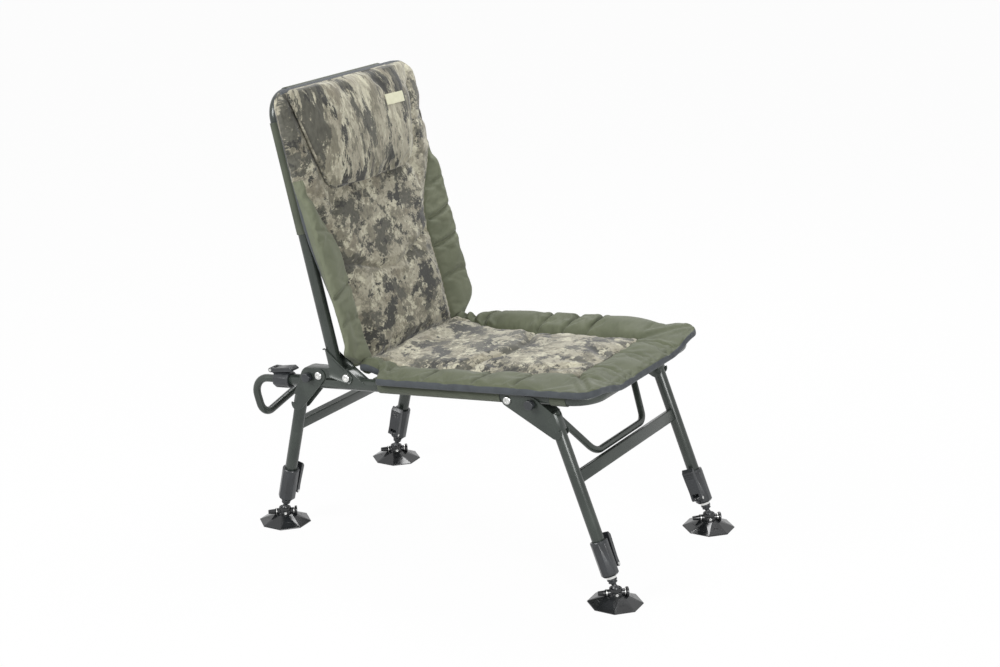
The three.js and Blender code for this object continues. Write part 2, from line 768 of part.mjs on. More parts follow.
function backSling() {
  const low = BACK_TUBE_SETBACK - TUBE_RADIUS - GAP - SLING;
  const outline = roundedSheet(RAIL_HALF, BACK_SLEEVE_LOW, BACK_TOP, SLING, BACK_BEND);
  const apron = roundedSheet(
    BACK_SLING_LOW_HALF, BACK_SLING_LOW, BACK_SLEEVE_LOW + BACK_SLEEVE_STEP, BACK_SLEEVE_STEP, SLING,
  );
  const stand = (shape) => (
    new THREE.ExtrudeGeometry(shape, { depth: SLING, bevelEnabled: false })
      .rotateX(Math.PI / 2)
      .translate(0, low + SLING, 0)
  );
  const add = [stand(apron)];
  const cut = [];
  for (const side of Object.values(SIDES)) {
    const x = side * RAIL_HALF;
    add.push(moved(sleeve(BACK_SLEEVE_LOW, BACK_TOP - BACK_BEND - OVERRUN, TUBE_RADIUS), x, BACK_TUBE_SETBACK, 0));
    cut.push(moved(
      rod(TUBE_RADIUS + GAP, BACK_SLEEVE_LOW - OVERRUN, BACK_TOP, HUG_SIDES), x, BACK_TUBE_SETBACK, 0,
    ));
  }
  const across = RAIL_HALF - BACK_BEND - OVERRUN;
  add.push(sleeve(-across, across, TUBE_RADIUS).rotateY(Math.PI / 2).translate(0, BACK_TUBE_SETBACK, BACK_TOP));
  cut.push(rodX(TUBE_RADIUS + GAP, -RAIL_HALF, RAIL_HALF, BACK_TUBE_SETBACK, BACK_TOP, HUG_SIDES));
  return combine(stand(outline), { add, cut });
}

const BACK_PAD_BASE = BACK_TUBE_SETBACK - TUBE_RADIUS - GAP - SLING - GAP;

function backPadHalf(z) {
  const top = cornerInset(BACK_PAD_TOP - z, BACK_PAD_CORNER);
  const low = smooth(z, BACK_PAD_SHOULDER_LOW, BACK_PAD_SHOULDER);
  return mix(BACK_PAD_LOW_HALF, BACK_PAD_HALF - top, low);
}

// Half width of the middle panel: even up to the waist, then flaring out to the wing tips
function backSeamHalf(z) {
  return mix(WAIST_HALF, backPadHalf(z) - BACK_PAD_EDGE, smooth(z, WAIST_HEIGHT, WING_TIP_HEIGHT));
}

const BACK_ROW_SHARES = [
  0, 0.02, 0.05, 0.09, 0.14, 0.2, 0.26, 0.31, 0.345, 0.36, 0.375, 0.42, 0.48, 0.53, 0.57, 0.61, 0.64, 0.67,
  0.7, 0.76, 0.83, 0.9, 0.94, 0.965, 0.985, 1,
];

function backRise(z) {
  const toTop = BACK_PAD_TOP - z;
  const top = Math.sqrt(Math.min(1, (toTop + BACK_PAD_EDGE / 2) / BACK_PAD_CORNER));
  const low = smooth(z, BACK_PAD_LOW - BACK_PAD_CORNER, BACK_PAD_SHOULDER);
  return top * low;
}

function backCushion() {
  const length = BACK_PAD_TOP - BACK_PAD_LOW;
  const loops = BACK_ROW_SHARES.map((share) => {
    const z = BACK_PAD_LOW + share * length;
    const half = backPadHalf(z);
    const shape = backRise(z);
    const lumbar = QUILT_DIP * (1 - smooth(Math.abs(z - LUMBAR_SEAM), 0, BACK_PAD_EDGE));
    const wing = 1 - smooth(z, WAIST_HEIGHT, WING_TIP_HEIGHT);
    const rise = (full) => BACK_PAD_EDGE + (full - BACK_PAD_EDGE) * shape;
    const panel = rise(BACK_PAD_PANEL - lumbar);
    const border = rise(mix(BACK_PAD_PANEL, BACK_PAD_WING, wing));
    const seamRise = rise(mix(BACK_PAD_PANEL - GAP, BACK_PAD_SEAM, wing));
    return padLoop(
      half, Math.min(backSeamHalf(z), half - BACK_PAD_EDGE), { tuck: QUILT_DIP }, BACK_PAD_EDGE * shape,
      border, panel, seamRise, (x, y) => new THREE.Vector3(x, BACK_PAD_BASE - y, z),
    );
  });
  return loft(loops);
}

const PILLOW_BASE = BACK_PAD_BASE - BACK_PAD_PANEL - GAP;
const PILLOW_ROW_SHARES = [0, 0.02, 0.07, 0.15, 0.3, 0.45, 0.6, 0.75, 0.87, 0.94, 0.98, 1];
const PILLOW_ACROSS_SHARES = [1, 0.97, 0.88, 0.7, 0.45, 0.2, 0];

function pillowHalf(z) {
  const straight = mix(PILLOW_LOW_HALF, PILLOW_TOP_HALF, (z - PILLOW_LOW) / (PILLOW_TOP - PILLOW_LOW));
  const low = cornerInset(z - PILLOW_LOW, PILLOW_CORNER);
  return straight - low - cornerInset(PILLOW_TOP - z, PILLOW_CORNER / 2);
}

// How far the pillow's face stands off its back at a place on it
function pillowRise(x, z) {
  const across = 1 - Math.min(1, Math.abs(x) / pillowHalf(z)) ** 3;
  const along = (z - PILLOW_LOW) / (PILLOW_TOP - PILLOW_LOW);
  const crown = Math.sin(Math.PI * THREE.MathUtils.clamp(mix(0.06, 0.9, along), 0, 1)) ** 0.5;
  return PILLOW_EDGE + (PILLOW_THICK - PILLOW_EDGE) * crown * Math.sqrt(across);
}

function pillow() {
  const loops = PILLOW_ROW_SHARES.map((share) => {
    const z = mix(PILLOW_LOW, PILLOW_TOP, share);
    const half = pillowHalf(z);
    const face = PILLOW_ACROSS_SHARES.map((part) => [half * part, pillowRise(half * part, z)]);
    const loop = face.map(([x, rise]) => new THREE.Vector3(x, PILLOW_BASE - rise, z));
    for (const [x, rise] of face.slice(0, -1).reverse()) {
      loop.push(new THREE.Vector3(-x, PILLOW_BASE - rise, z));
    }
    loop.push(new THREE.Vector3(PILLOW_EDGE - half, PILLOW_BASE, z));
    loop.push(new THREE.Vector3(half - PILLOW_EDGE, PILLOW_BASE, z));
    return loop;
  });
  return loft(loops);
}

// A sewn tag that lies square on the pillow's face
function tag() {
  const step = TAG_HEIGHT / 2;
  const slopeX = (pillowRise(TAG_X + step, TAG_Z) - pillowRise(TAG_X - step, TAG_Z)) / (2 * step);
  const slopeZ = (pillowRise(TAG_X, TAG_Z + step) - pillowRise(TAG_X, TAG_Z - step)) / (2 * step);
  const face = PILLOW_BASE - pillowRise(TAG_X, TAG_Z);
  const plate = new THREE.BoxGeometry(TAG_WIDTH, TAG_THICK, TAG_HEIGHT);
  plate.translate(0, -TAG_THICK / 2 - 2 * GAP, 0);
  plate.rotateY(-THREE.MathUtils.degToRad(TAG_TURN_DEG));
  plate.rotateX(Math.atan(slopeZ)).rotateZ(-Math.atan(slopeX));
  return plate.translate(TAG_X, face, TAG_Z);
}

// Legs, in axes whose origin is the ball and whose z runs up the leg

function legPose(hinge, offset, footY) {
  const reach = Math.hypot(hinge.y - footY, hinge.z - BALL_HEIGHT);
  const toHinge = Math.atan2(hinge.y - footY, hinge.z - BALL_HEIGHT);
  const lean = toHinge - Math.asin(offset / reach);
  return { lean, up: Math.sqrt(reach * reach - offset * offset), footY, offset };
}

function onLeg(pose, point) {
  const [y, z] = [point.y - pose.footY, point.z - BALL_HEIGHT];
  const [sin, cos] = [Math.sin(pose.lean), Math.cos(pose.lean)];
  return { y: y * cos - z * sin, z: y * sin + z * cos };
}

function legTube(side, clampUp, top) {
  const low = clampUp + CLAMP_SEAT + GAP;
  const inner = TUBE_RADIUS - LEG_WALL;
  const profile = [[inner, low], [TUBE_RADIUS, low], [TUBE_RADIUS, top], [inner, top], [inner, low]];
  return moved(turned(profile, HUG_SIDES), side * RAIL_HALF, 0, 0);
}

function innerLeg(side) {
  const [low, high] = [INNER_START, INNER_START + INNER_LENGTH];
  const inner = INNER_RADIUS - INNER_WALL;
  const profile = [[inner, low], [INNER_RADIUS, low], [INNER_RADIUS, high], [inner, high], [inner, low]];
  return moved(turned(profile, TUBE_SIDES), side * RAIL_HALF, 0, 0);
}

function ballStem(side) {
  const arc = [];
  const neck = Math.asin(NECK_RADIUS / BALL_RADIUS);
  for (let i = 0; i <= BEND_STEPS; i += 1) {
    const angle = Math.PI - ((Math.PI - neck) * i) / BEND_STEPS;
    arc.push([BALL_RADIUS * Math.sin(angle) * Math.sign(i), BALL_RADIUS * Math.cos(angle)]);
  }
  const flange = INNER_START - GAP;
  const plug = INNER_RADIUS - INNER_WALL - GAP;
  const profile = [
    ...arc,
    [NECK_RADIUS, STEM_FLARE_UP],
    [STEM_FLARE_RADIUS, (STEM_FLARE_UP + flange) / 2],
    [INNER_RADIUS, flange],
    [plug, flange],
    [plug, flange + PLUG_LENGTH],
    [0, flange + PLUG_LENGTH],
  ];
  return moved(turned(profile, PIN_SIDES), side * RAIL_HALF, 0, 0);
}

function frontPlate(side, pose) {
  const hinge = onLeg(pose, onSeat(FRONT_HINGE_Y, -FRONT_HINGE_DROP));
  const knob = onLeg(pose, onSeat(FRONT_KNOB_Y, -FRONT_KNOB_DROP));
  const discs = [
    [hinge.y, hinge.z, FRONT_PLATE_ROUND],
    [knob.y, knob.z, FRONT_PLATE_ROUND],
    [0, FRONT_PLATE_LOW, PLATE_EDGE_ROUND],
    [0, FRONT_PLATE_HIGH, PLATE_EDGE_ROUND],
  ];
  const holes = [[hinge.y, hinge.z], [knob.y, knob.z]];
  return channelPlate(side, discs, 0, -1, FRONT_PLATE_LOW, FRONT_LEG_TOP, holes);
}

function rearPlate(side, pose) {
  const hinge = onLeg(pose, onSeat(REAR_HINGE_Y, REAR_HINGE_RISE));
  const knob = onLeg(pose, onSeat(REAR_KNOB_Y, REAR_KNOB_RISE));
  const discs = [
    [hinge.y, hinge.z, REAR_PLATE_ROUND],
    [knob.y, knob.z, REAR_KNOB_ROUND],
    [0, REAR_PLATE_LOW + PLATE_EDGE_ROUND, PLATE_EDGE_ROUND],
  ];
  const holes = [[hinge.y, hinge.z], [knob.y, knob.z]];
  return channelPlate(side, discs, 0, 1, REAR_PLATE_LOW + PLATE_EDGE_ROUND, REAR_LEG_TOP, holes);
}

function roundedBar(halfY, halfZ, corner) {
  const discs = [];
  for (const [y, z] of [[1, 1], [-1, 1], [-1, -1], [1, -1]]) {
    discs.push([y * (halfY - corner), z * (halfZ - corner), corner]);
  }
  return hullShape(discs);
}

function crossbar(up) {
  const outer = roundedBar(CROSSBAR_THICK / 2, CROSSBAR_DEPTH / 2, CROSSBAR_CORNER);
  const inner = roundedBar(
    CROSSBAR_THICK / 2 - CROSSBAR_WALL, CROSSBAR_DEPTH / 2 - CROSSBAR_WALL, CROSSBAR_CORNER - CROSSBAR_WALL,
  );
  const cut = [alongX(inner, -RAIL_HALF - OVERRUN, RAIL_HALF + OVERRUN)];
  for (const side of Object.values(SIDES)) {
    const saddle = rod(TUBE_RADIUS + GAP, -CROSSBAR_DEPTH, CROSSBAR_DEPTH, HUG_SIDES);
    cut.push(moved(saddle, side * RAIL_HALF, 0, 0));
  }
  return combine(alongX(outer, -RAIL_HALF, RAIL_HALF), { cut }).translate(0, 0, up);
}

function frontBrace() {
  const face = RAIL_HALF - CHANNEL_OUTER - GAP;
  const lowUp = FRONT_BAR_UP + CROSSBAR_DEPTH / 2 + BRACE_RADIUS + BRACE_LOW_GAP;
  const half = [
    new THREE.Vector3(face, BRACE_END_BACK, BRACE_END_UP),
    new THREE.Vector3(face - BRACE_STUB, BRACE_END_BACK, BRACE_END_UP),
    new THREE.Vector3(BRACE_LOW_HALF, BRACE_LOW_BACK, lowUp),
  ];
  const other = half.map((point) => new THREE.Vector3(-point.x, point.y, point.z)).reverse();
  const bends = [BRACE_STUB_BEND, BRACE_BEND, BRACE_BEND, BRACE_STUB_BEND];
  return bentTube([...half, ...other], bends, BRACE_RADIUS, THIN_SIDES);
}

// Cam clamp: z runs from its mouth to its collar, and the lever is on its +x side

const LEG_CLAMP = {
  length: CLAMP_LENGTH,
  seat: CLAMP_SEAT,
  bore: INNER_RADIUS + PIN_FIT,
  camUp: CAM_UP,
  leverLength: LEVER_LENGTH,
};
const TAIL_CLAMP = {
  length: TAIL_CLAMP_LENGTH,
  seat: TAIL_CLAMP_SEAT,
  bore: BAR_RADIUS + PIN_FIT,
  camUp: TAIL_CAM_UP,
  leverLength: TAIL_LEVER_LENGTH,
};

// Both of the clamp's ears in one block, with a round nose on the cam's pin; the slit parts them
function clampEars(clamp) {
  const root = CLAMP_FLATS / 2 - CLAMP_CHAMFER;
  const foot = Math.max(clamp.camUp - EAR_RADIUS, 0);
  const shape = hullShape([
    [CAM_OUT, clamp.camUp, EAR_RADIUS],
    [root, foot, 0],
    [root, clamp.camUp + 2 * EAR_RADIUS, 0],
  ]);
  const block = new THREE.ExtrudeGeometry(shape, { depth: 2 * EAR_HALF_WIDTH, bevelEnabled: false });
  return block.rotateX(Math.PI / 2).translate(0, EAR_HALF_WIDTH, 0);
}

function clampBody(clamp) {
  const corner = CLAMP_FLATS / 2 / Math.cos(Math.PI / 8);
  const sleeveTop = clamp.length - CLAMP_COLLAR;
  const body = turned(
    [[0, 0], [corner - CLAMP_CHAMFER, 0], [corner, CLAMP_CHAMFER], [corner, sleeveTop], [0, sleeveTop]], 8,
  );
  const collar = rod(CLAMP_COLLAR_RADIUS, sleeveTop - OVERRUN, clamp.length, HUG_SIDES);
  const reach = CAM_OUT + EAR_RADIUS + OVERRUN;
  const slitTop = clamp.length - CLAMP_SLIT_STOP;
  const cut = [
    rod(clamp.bore, -OVERRUN, clamp.seat + OVERRUN, TUBE_SIDES),
    rod(TUBE_RADIUS + GAP, clamp.seat, clamp.length + OVERRUN, HUG_SIDES),
    box([0, -CLAMP_SLIT / 2, clamp.camUp - LEVER_WIDTH], [reach, CLAMP_SLIT / 2, slitTop]),
    rodY(CAM_PIN_RADIUS + PIN_FIT, -LEVER_WIDTH, LEVER_WIDTH, CAM_OUT, clamp.camUp, CUP_SIDES),
  ];
  return combine(body, { add: [collar, clampEars(clamp)], cut });
}

function clampLever(clamp) {
  const half = LEVER_WIDTH / 2;
  const tipUp = clamp.camUp + clamp.leverLength;
  const toe = LEVER_THICK / 2;
  const low = LEVER_INSIDE + toe;
  const shoulder = clamp.camUp + 3 * LEVER_EYE_RADIUS;
  const handle = hullShape([
    [low + GAP, tipUp - toe, toe],
    [low + LEVER_TOE / 2, tipUp - LEVER_TOE, toe],
    [low, shoulder, toe],
    [low + LEVER_TOE / 2, shoulder, toe],
  ]);
  const eye = hullShape([
    [CAM_OUT, clamp.camUp, LEVER_EYE_RADIUS],
    [low + LEVER_TOE / 2, shoulder, toe],
    [low, shoulder, toe],
  ]);
  const stand = (shape) => (
    new THREE.ExtrudeGeometry(shape, { depth: LEVER_WIDTH, bevelEnabled: false })
      .rotateX(Math.PI / 2)
      .translate(0, half, 0)
  );
  const slot = EAR_HALF_WIDTH + PIN_FIT;
  const slotTop = clamp.camUp + 2.2 * EAR_RADIUS;
  const gate = box([0, -slot, clamp.camUp - LEVER_WIDTH], [CAM_OUT + LEVER_WIDTH, slot, slotTop]);
  const lever = combine(stand(handle), { add: [stand(eye)], cut: [gate] });
  const pinHalf = half - PIN_FIT;
  const pin = rodY(CAM_PIN_RADIUS, -pinHalf, pinHalf, CAM_OUT, clamp.camUp, CUP_SIDES);
  return combine(lever, { add: [pin] });
}

// Turns a clamp piece so that its lever faces the chair's middle, and seats it on a leg
function onLegSide(geometry, side, up) {
  const turnedIn = side > 0 ? mirrored(geometry) : geometry;
  return moved(turnedIn, side * RAIL_HALF, 0, up);
}

// Lays a clamp piece on a rail's rear end, with its lever on top
function onTail(geometry, side) {
  const matrix = new THREE.Matrix4().set(
    0, 1, 0, side * RAIL_HALF,
    0, 0, -1, TAIL_CLAMP_START + TAIL_CLAMP_LENGTH,
    1, 0, 0, 0,
    0, 0, 0, 1,
  );
  return geometry.clone().applyMatrix4(matrix);
}

// The mud foot's axes: origin on the ground under the ball, x along its swivel lugs
function mudFoot() {
  const flat = Math.cos(Math.PI / FOOT_SIDES);
  const turn = THREE.MathUtils.degToRad(FOOT_SKIRT_TURN_DEG);
  const slope = (FOOT_SHOULDER_HEIGHT - FOOT_RIM) / (FOOT_RADIUS - FOOT_SHOULDER_RADIUS);
  const under = FOOT_SHOULDER_HEIGHT - FOOT_WALL;
  const skirt = turned(
    [
      [0, FOOT_SHOULDER_HEIGHT],
      [FOOT_SHOULDER_RADIUS, FOOT_SHOULDER_HEIGHT],
      [FOOT_RADIUS, FOOT_RIM],
      [FOOT_RADIUS, 0],
      [FOOT_RADIUS - FOOT_WALL, 0],
      [FOOT_SHOULDER_RADIUS - FOOT_WALL, under - slope * FOOT_WALL / 2],
      [0, under - slope * FOOT_WALL / 2],
    ],
    FOOT_SIDES,
  ).rotateZ(turn);
  const cup = turned(
    [
      [0, FOOT_SHOULDER_HEIGHT - FOOT_WALL],
      [FOOT_SHOULDER_RADIUS * flat, FOOT_SHOULDER_HEIGHT - FOOT_WALL],
      [CUP_RADIUS, (FOOT_SHOULDER_HEIGHT + BALL_HEIGHT) / 2],
      [CUP_RADIUS, CUP_TOP],
      [0, CUP_TOP],
    ],
    PIN_SIDES,
  );
  const lugUp = BALL_HEIGHT - CUP_FLOOR;
  const lugs = rodX(LUG_RADIUS, -LUG_REACH, LUG_REACH, 0, lugUp, CUP_SIDES);
  const cap = rodX(CAP_RADIUS, LUG_REACH - OVERRUN, LUG_REACH + CAP_THICK, 0, lugUp);
  const toggle = rodX(TOGGLE_RADIUS, -TOGGLE_REACH, OVERRUN - LUG_REACH, 0, lugUp, CUP_SIDES);
  const clear = (BALL_RADIUS + GAP) / Math.cos(Math.PI / PIN_SIDES) / Math.cos(Math.PI / CUP_SIDES / 2);
  const socket = new THREE.SphereGeometry(clear, PIN_SIDES, CUP_SIDES)
    .rotateX(Math.PI / 2)
    .translate(0, 0, BALL_HEIGHT);
  const mouth = turned(
    [
      [0, BALL_HEIGHT],
      [BALL_RADIUS * flat, BALL_HEIGHT],
      [CUP_RADIUS + GAP, CUP_TOP + OVERRUN],
      [0, CUP_TOP + OVERRUN],
    ],
    PIN_SIDES,
  );
  const cut = [socket, mouth];
  for (let i = 0; i < FOOT_SIDES; i += 2) {
    const angle = turn + (2 * Math.PI * (i + 0.5)) / FOOT_SIDES;
    const end = (FOOT_HOLE_LENGTH - FOOT_HOLE_WIDTH) / 2;
    const discs = [end, -end].map((y) => [FOOT_HOLE_OUT, y, FOOT_HOLE_WIDTH / 2]);
    const slot = hullShape(discs, CUP_SIDES);
    const depth = FOOT_SHOULDER_HEIGHT + OVERRUN;
    cut.push(new THREE.ExtrudeGeometry(slot, { depth, bevelEnabled: false }).rotateZ(angle));
  }
  return combine(skirt, { add: [cup, lugs, cap, toggle], cut });
}

// Rear bar, in the seat's axes

function rearBar() {
  const mouth = TAIL_CLAMP_START + TAIL_CLAMP_LENGTH;
  const turn = mouth + BAR_TURN_BEYOND;
  const lowX = RAIL_HALF - BAR_DROP_IN;
  const half = [
    new THREE.Vector3(RAIL_HALF, RAIL_END - BAR_IN_RAIL, 0),
    new THREE.Vector3(RAIL_HALF, turn, 0),
    new THREE.Vector3(lowX, turn - BAR_DROP_FORWARD, -BAR_DROP),
    new THREE.Vector3(
      BAR_MIDDLE_HALF, turn - BAR_DROP_FORWARD - BAR_RISE_FORWARD, BAR_RISE - BAR_DROP,
    ),
  ];
  const other = half.map((point) => new THREE.Vector3(-point.x, point.y, point.z)).reverse();
  const bends = [BAR_TURN_BEND, BAR_LOW_BEND, BAR_MIDDLE_BEND];
  return bentTube([...half, ...other], [...bends, ...bends.slice().reverse()], BAR_RADIUS, THIN_SIDES);
}

// Assembly

const chair = new THREE.Group();

const seat = new THREE.Group();
seat.position.set(0, 0, RAIL_HEIGHT);
seat.rotation.x = -SEAT_TILT;
chair.add(seat);

const backHinge = onSeat(BACK_HINGE_Y, BACK_HINGE_RISE);
const back = new THREE.Group();
back.position.set(0, backHinge.y, backHinge.z);
back.rotation.x = -BACK_LEAN;
chair.add(back);

const front = {
  name: "front",
  pose: legPose(onSeat(FRONT_HINGE_Y, -FRONT_HINGE_DROP), FRONT_HINGE_OFFSET, -FOOT_SPREAD_Y / 2),
  plate: frontPlate,
  top: FRONT_LEG_TOP,
  extension: 0,
  barUp: FRONT_BAR_UP,
};
const rear = {
  name: "rear",
  pose: legPose(onSeat(REAR_HINGE_Y, REAR_HINGE_RISE), -REAR_HINGE_OFFSET, FOOT_SPREAD_Y / 2),
  plate: rearPlate,
  top: REAR_LEG_TOP,
  extension: REAR_EXTENSION,
  barUp: REAR_BAR_UP,
};

seat.add(mesh("seat_frame", seatFrame(), steel));
seat.add(mesh("seat_sling", seatSling(), olive));
seat.add(mesh("seat_cushion", seatCushion(), camo));
seat.add(mesh("rear_bar", rearBar(), steel));

back.add(mesh("back_frame", backFrame(), steel));
back.add(mesh("back_sling", backSling(), olive));
back.add(mesh("back_cushion", backCushion(), camo));
back.add(mesh("head_pillow", pillow(), camo));
back.add(mesh("pillow_tag", tag(), cream));

for (const [word, side] of Object.entries(SIDES)) {
  seat.add(mesh(`rear_bracket_${word}`, rearBracket(side), steel));
  seat.add(mesh(`back_hinge_bolt_${word}`, hingeBolt(side, BACK_HINGE_Y, BACK_HINGE_RISE), zinc));
  seat.add(mesh(`front_hinge_bolt_${word}`, hingeBolt(side, FRONT_HINGE_Y, -FRONT_HINGE_DROP), zinc));
  seat.add(mesh(`rear_hinge_bolt_${word}`, hingeBolt(side, REAR_HINGE_Y, REAR_HINGE_RISE), zinc));
  seat.add(mesh(`front_lock_pin_${word}`, lockPin(side, FRONT_KNOB_Y, -FRONT_KNOB_DROP), plastic));
  seat.add(mesh(`rear_lock_pin_${word}`, lockPin(side, REAR_KNOB_Y, REAR_KNOB_RISE), plastic));
  seat.add(mesh(`tail_clamp_${word}`, onTail(clampBody(TAIL_CLAMP), side), plastic));
  seat.add(mesh(`tail_lever_${word}`, onTail(clampLever(TAIL_CLAMP), side), plastic));
  back.add(mesh(`back_plate_${word}`, backPlate(side), steel));
}

for (const end of [front, rear]) {
  const leg = new THREE.Group();
  leg.position.set(0, end.pose.footY, BALL_HEIGHT);
  leg.rotation.x = -end.pose.lean;
  chair.add(leg);
  leg.add(mesh(`${end.name}_crossbar`, crossbar(end.barUp), steel));
  const clampUp = LEG_CLAMP_UP + end.extension;
  for (const [word, side] of Object.entries(SIDES)) {
    const name = `${end.name}_${word}`;
    leg.add(mesh(`${name}_leg_tube`, legTube(side, clampUp, end.top), steel));
    leg.add(mesh(`${name}_leg_plate`, end.plate(side, end.pose), steel));
    leg.add(mesh(`${name}_clamp`, onLegSide(clampBody(LEG_CLAMP), side, clampUp), plastic));
    leg.add(mesh(`${name}_clamp_lever`, onLegSide(clampLever(LEG_CLAMP), side, clampUp), plastic));
    leg.add(mesh(`${name}_inner_leg`, innerLeg(side), zinc));
    leg.add(mesh(`${name}_ball_stem`, ballStem(side), plastic));
    const foot = mesh(`${name}_mud_foot`, mudFoot(), plastic);
    foot.position.set(side * RAIL_HALF, end.pose.footY, 0);
    foot.rotation.z = THREE.MathUtils.degToRad(FOOT_YAW_DEG);
    chair.add(foot);
  }
  if (end === front) leg.add(mesh("front_brace", frontBrace(), steel));
}

// The origin comes under the middle of the chair's overall length
const extent = new THREE.Box3().setFromObject(chair, true);
const middle = (extent.min.y + extent.max.y) / 2;
for (const piece of chair.children) piece.position.y -= middle;

export default chair;
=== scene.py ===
# The looks of a folding carp fishing chair: powder-coated tube, moulded clamps and mud feet, quilted pads.
# Lengths are written in millimetres and multiplied by MM, because the scene is in metres.
import math

import bpy
import numpy as np
from mathutils import Matrix, Vector


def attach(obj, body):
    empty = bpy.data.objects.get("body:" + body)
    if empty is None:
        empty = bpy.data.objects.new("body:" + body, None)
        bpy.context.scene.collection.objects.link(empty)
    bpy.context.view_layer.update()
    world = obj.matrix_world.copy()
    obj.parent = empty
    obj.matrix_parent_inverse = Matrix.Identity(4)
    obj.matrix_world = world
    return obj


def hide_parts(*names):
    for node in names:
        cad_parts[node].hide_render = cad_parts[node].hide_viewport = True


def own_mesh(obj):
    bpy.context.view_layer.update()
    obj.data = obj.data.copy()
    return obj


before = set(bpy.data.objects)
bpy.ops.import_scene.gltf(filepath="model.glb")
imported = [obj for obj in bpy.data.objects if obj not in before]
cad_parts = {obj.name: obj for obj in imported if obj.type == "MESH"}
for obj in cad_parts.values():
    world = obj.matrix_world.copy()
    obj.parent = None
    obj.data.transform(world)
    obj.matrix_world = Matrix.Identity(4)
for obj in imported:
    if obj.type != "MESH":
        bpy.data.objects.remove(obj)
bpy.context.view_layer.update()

MM = 0.001
SIDES = {"left": 1, "right": -1}

# The chair's own axes: the seat's, the back's and each pair of legs', set in the whole chair
ORIGIN_SHIFT = -9.3052
SEAT_TILT = math.radians(6.54)
BACK_LEAN = math.radians(14.8)
FRONT_LEAN = math.radians(22.8850)
REAR_LEAN = math.radians(-11.8785)


def axes(y, z, lean):
    return Matrix.Translation((0, (y + ORIGIN_SHIFT) * MM, z * MM)) @ Matrix.Rotation(-lean, 4, "X")


CHAIR = axes(0, 0, 0)
SEAT = axes(0, 357.9, SEAT_TILT)
BACK = axes(212.483, 349.997, BACK_LEAN)
FRONT_LEGS = axes(-388, 28, FRONT_LEAN)
REAR_LEGS = axes(388, 28, REAR_LEAN)

RAIL_HALF = 210
TUBE = 12.5


# Hands: selecting, editing, cutting and finishing a piece

def mm(x, y, z):
    return Vector((x, y, z)) * MM


def only(piece):
    if bpy.context.object and bpy.context.object.mode != "OBJECT":
        bpy.ops.object.mode_set(mode="OBJECT")
    bpy.ops.object.select_all(action="DESELECT")
    piece.select_set(True)
    bpy.context.view_layer.objects.active = piece
    return piece


def settle(name):
    piece = bpy.context.object
    piece.name = piece.data.name = name
    bpy.ops.object.transform_apply(location=True, rotation=True, scale=True)
    return only(piece)


def pick(piece, kind, test):
    only(piece)
    bpy.ops.object.mode_set(mode="EDIT")
    bpy.ops.mesh.select_mode(type=kind)
    bpy.ops.mesh.select_all(action="DESELECT")
    bpy.ops.object.mode_set(mode="OBJECT")
    mesh = piece.data
    for item in {"VERT": mesh.vertices, "EDGE": mesh.edges, "FACE": mesh.polygons}[kind]:
        item.select = bool(test(item))
    bpy.ops.object.mode_set(mode="EDIT")


def leave(piece):
    bpy.ops.object.mode_set(mode="OBJECT")
    return piece


def edit(piece):
    only(piece)
    bpy.ops.object.mode_set(mode="EDIT")


def face_outward(piece):
    bpy.ops.mesh.select_all(action="SELECT")
    bpy.ops.mesh.normals_make_consistent(inside=False)
    return leave(piece)


def bevel(piece, width, segments, test):
    """Rounds the edges that pass a test on the places of their two ends."""
    pick(piece, "EDGE", lambda edge: test(*(piece.data.vertices[v].co for v in edge.vertices)))
    bpy.ops.mesh.bevel(offset=width * MM, segments=segments)
    return leave(piece)


def join(first, *others):
    only(first)
    for other in others:
        other.select_set(True)
    bpy.ops.object.join()
    return first


def boolean(piece, tool, operation):
    only(piece)
    change = piece.modifiers.new("cut", "BOOLEAN")
    change.object = tool
    change.operation = operation
    change.solver = "EXACT"
    bpy.ops.object.modifier_apply(modifier=change.name)
    bpy.data.objects.remove(tool)
    return piece


def cut(piece, *tools):
    for tool in tools:
        boolean(piece, tool, "DIFFERENCE")
    return piece


def weld_on(piece, *tools):
    for tool in tools:
        boolean(piece, tool, "UNION")
    return piece


def round_edges(piece, width, segments=2, angle=32):
    only(piece)
    change = piece.modifiers.new("round", "BEVEL")
    change.width = width * MM
    change.segments = segments
    change.limit_method = "ANGLE"
    change.angle_limit = math.radians(angle)
    change.use_clamp_overlap = True
    change.harden_normals = False
    bpy.ops.object.modifier_apply(modifier=change.name)
    return piece


def smooth(piece, angle=38):
    only(piece)
    bpy.ops.object.shade_smooth_by_angle(angle=math.radians(angle))
    return piece


def copied(piece, name):
    only(piece)
    bpy.ops.object.duplicate(linked=False)
    twin = bpy.context.object
    twin.name = twin.data.name = name
    return twin


def moved(piece, matrix):
    piece.data.transform(matrix)
    piece.data.update()
    return piece


def wear(piece, finish, slot_name, body, *stands_for):
    piece.data.materials.clear()
    piece.data.materials.append(finish)
    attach(piece, body)
    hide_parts(*stands_for)
    return piece


def wear_both(master, place, finish, slot_name, *texts):
    """Puts a left-hand master on the left and its mirror image on the right. place(side) is where it goes. The
    texts are the piece's name, its body and its node, and an asterisk in them stands for the side's word."""
    for word, side in SIDES.items():
        name, body, node = (text.replace("*", word) for text in texts)
        piece = copied(master, name)
        if side < 0:
            piece.data.transform(Matrix.Scale(-1, 4, (1, 0, 0)))
            piece.data.flip_normals()
        wear(moved(piece, place(side)), finish, slot_name, body, node)


def put_away(*masters):
    for master in masters:
        bpy.data.objects.remove(master)


# Stock: rods, tubes, plates and boxes

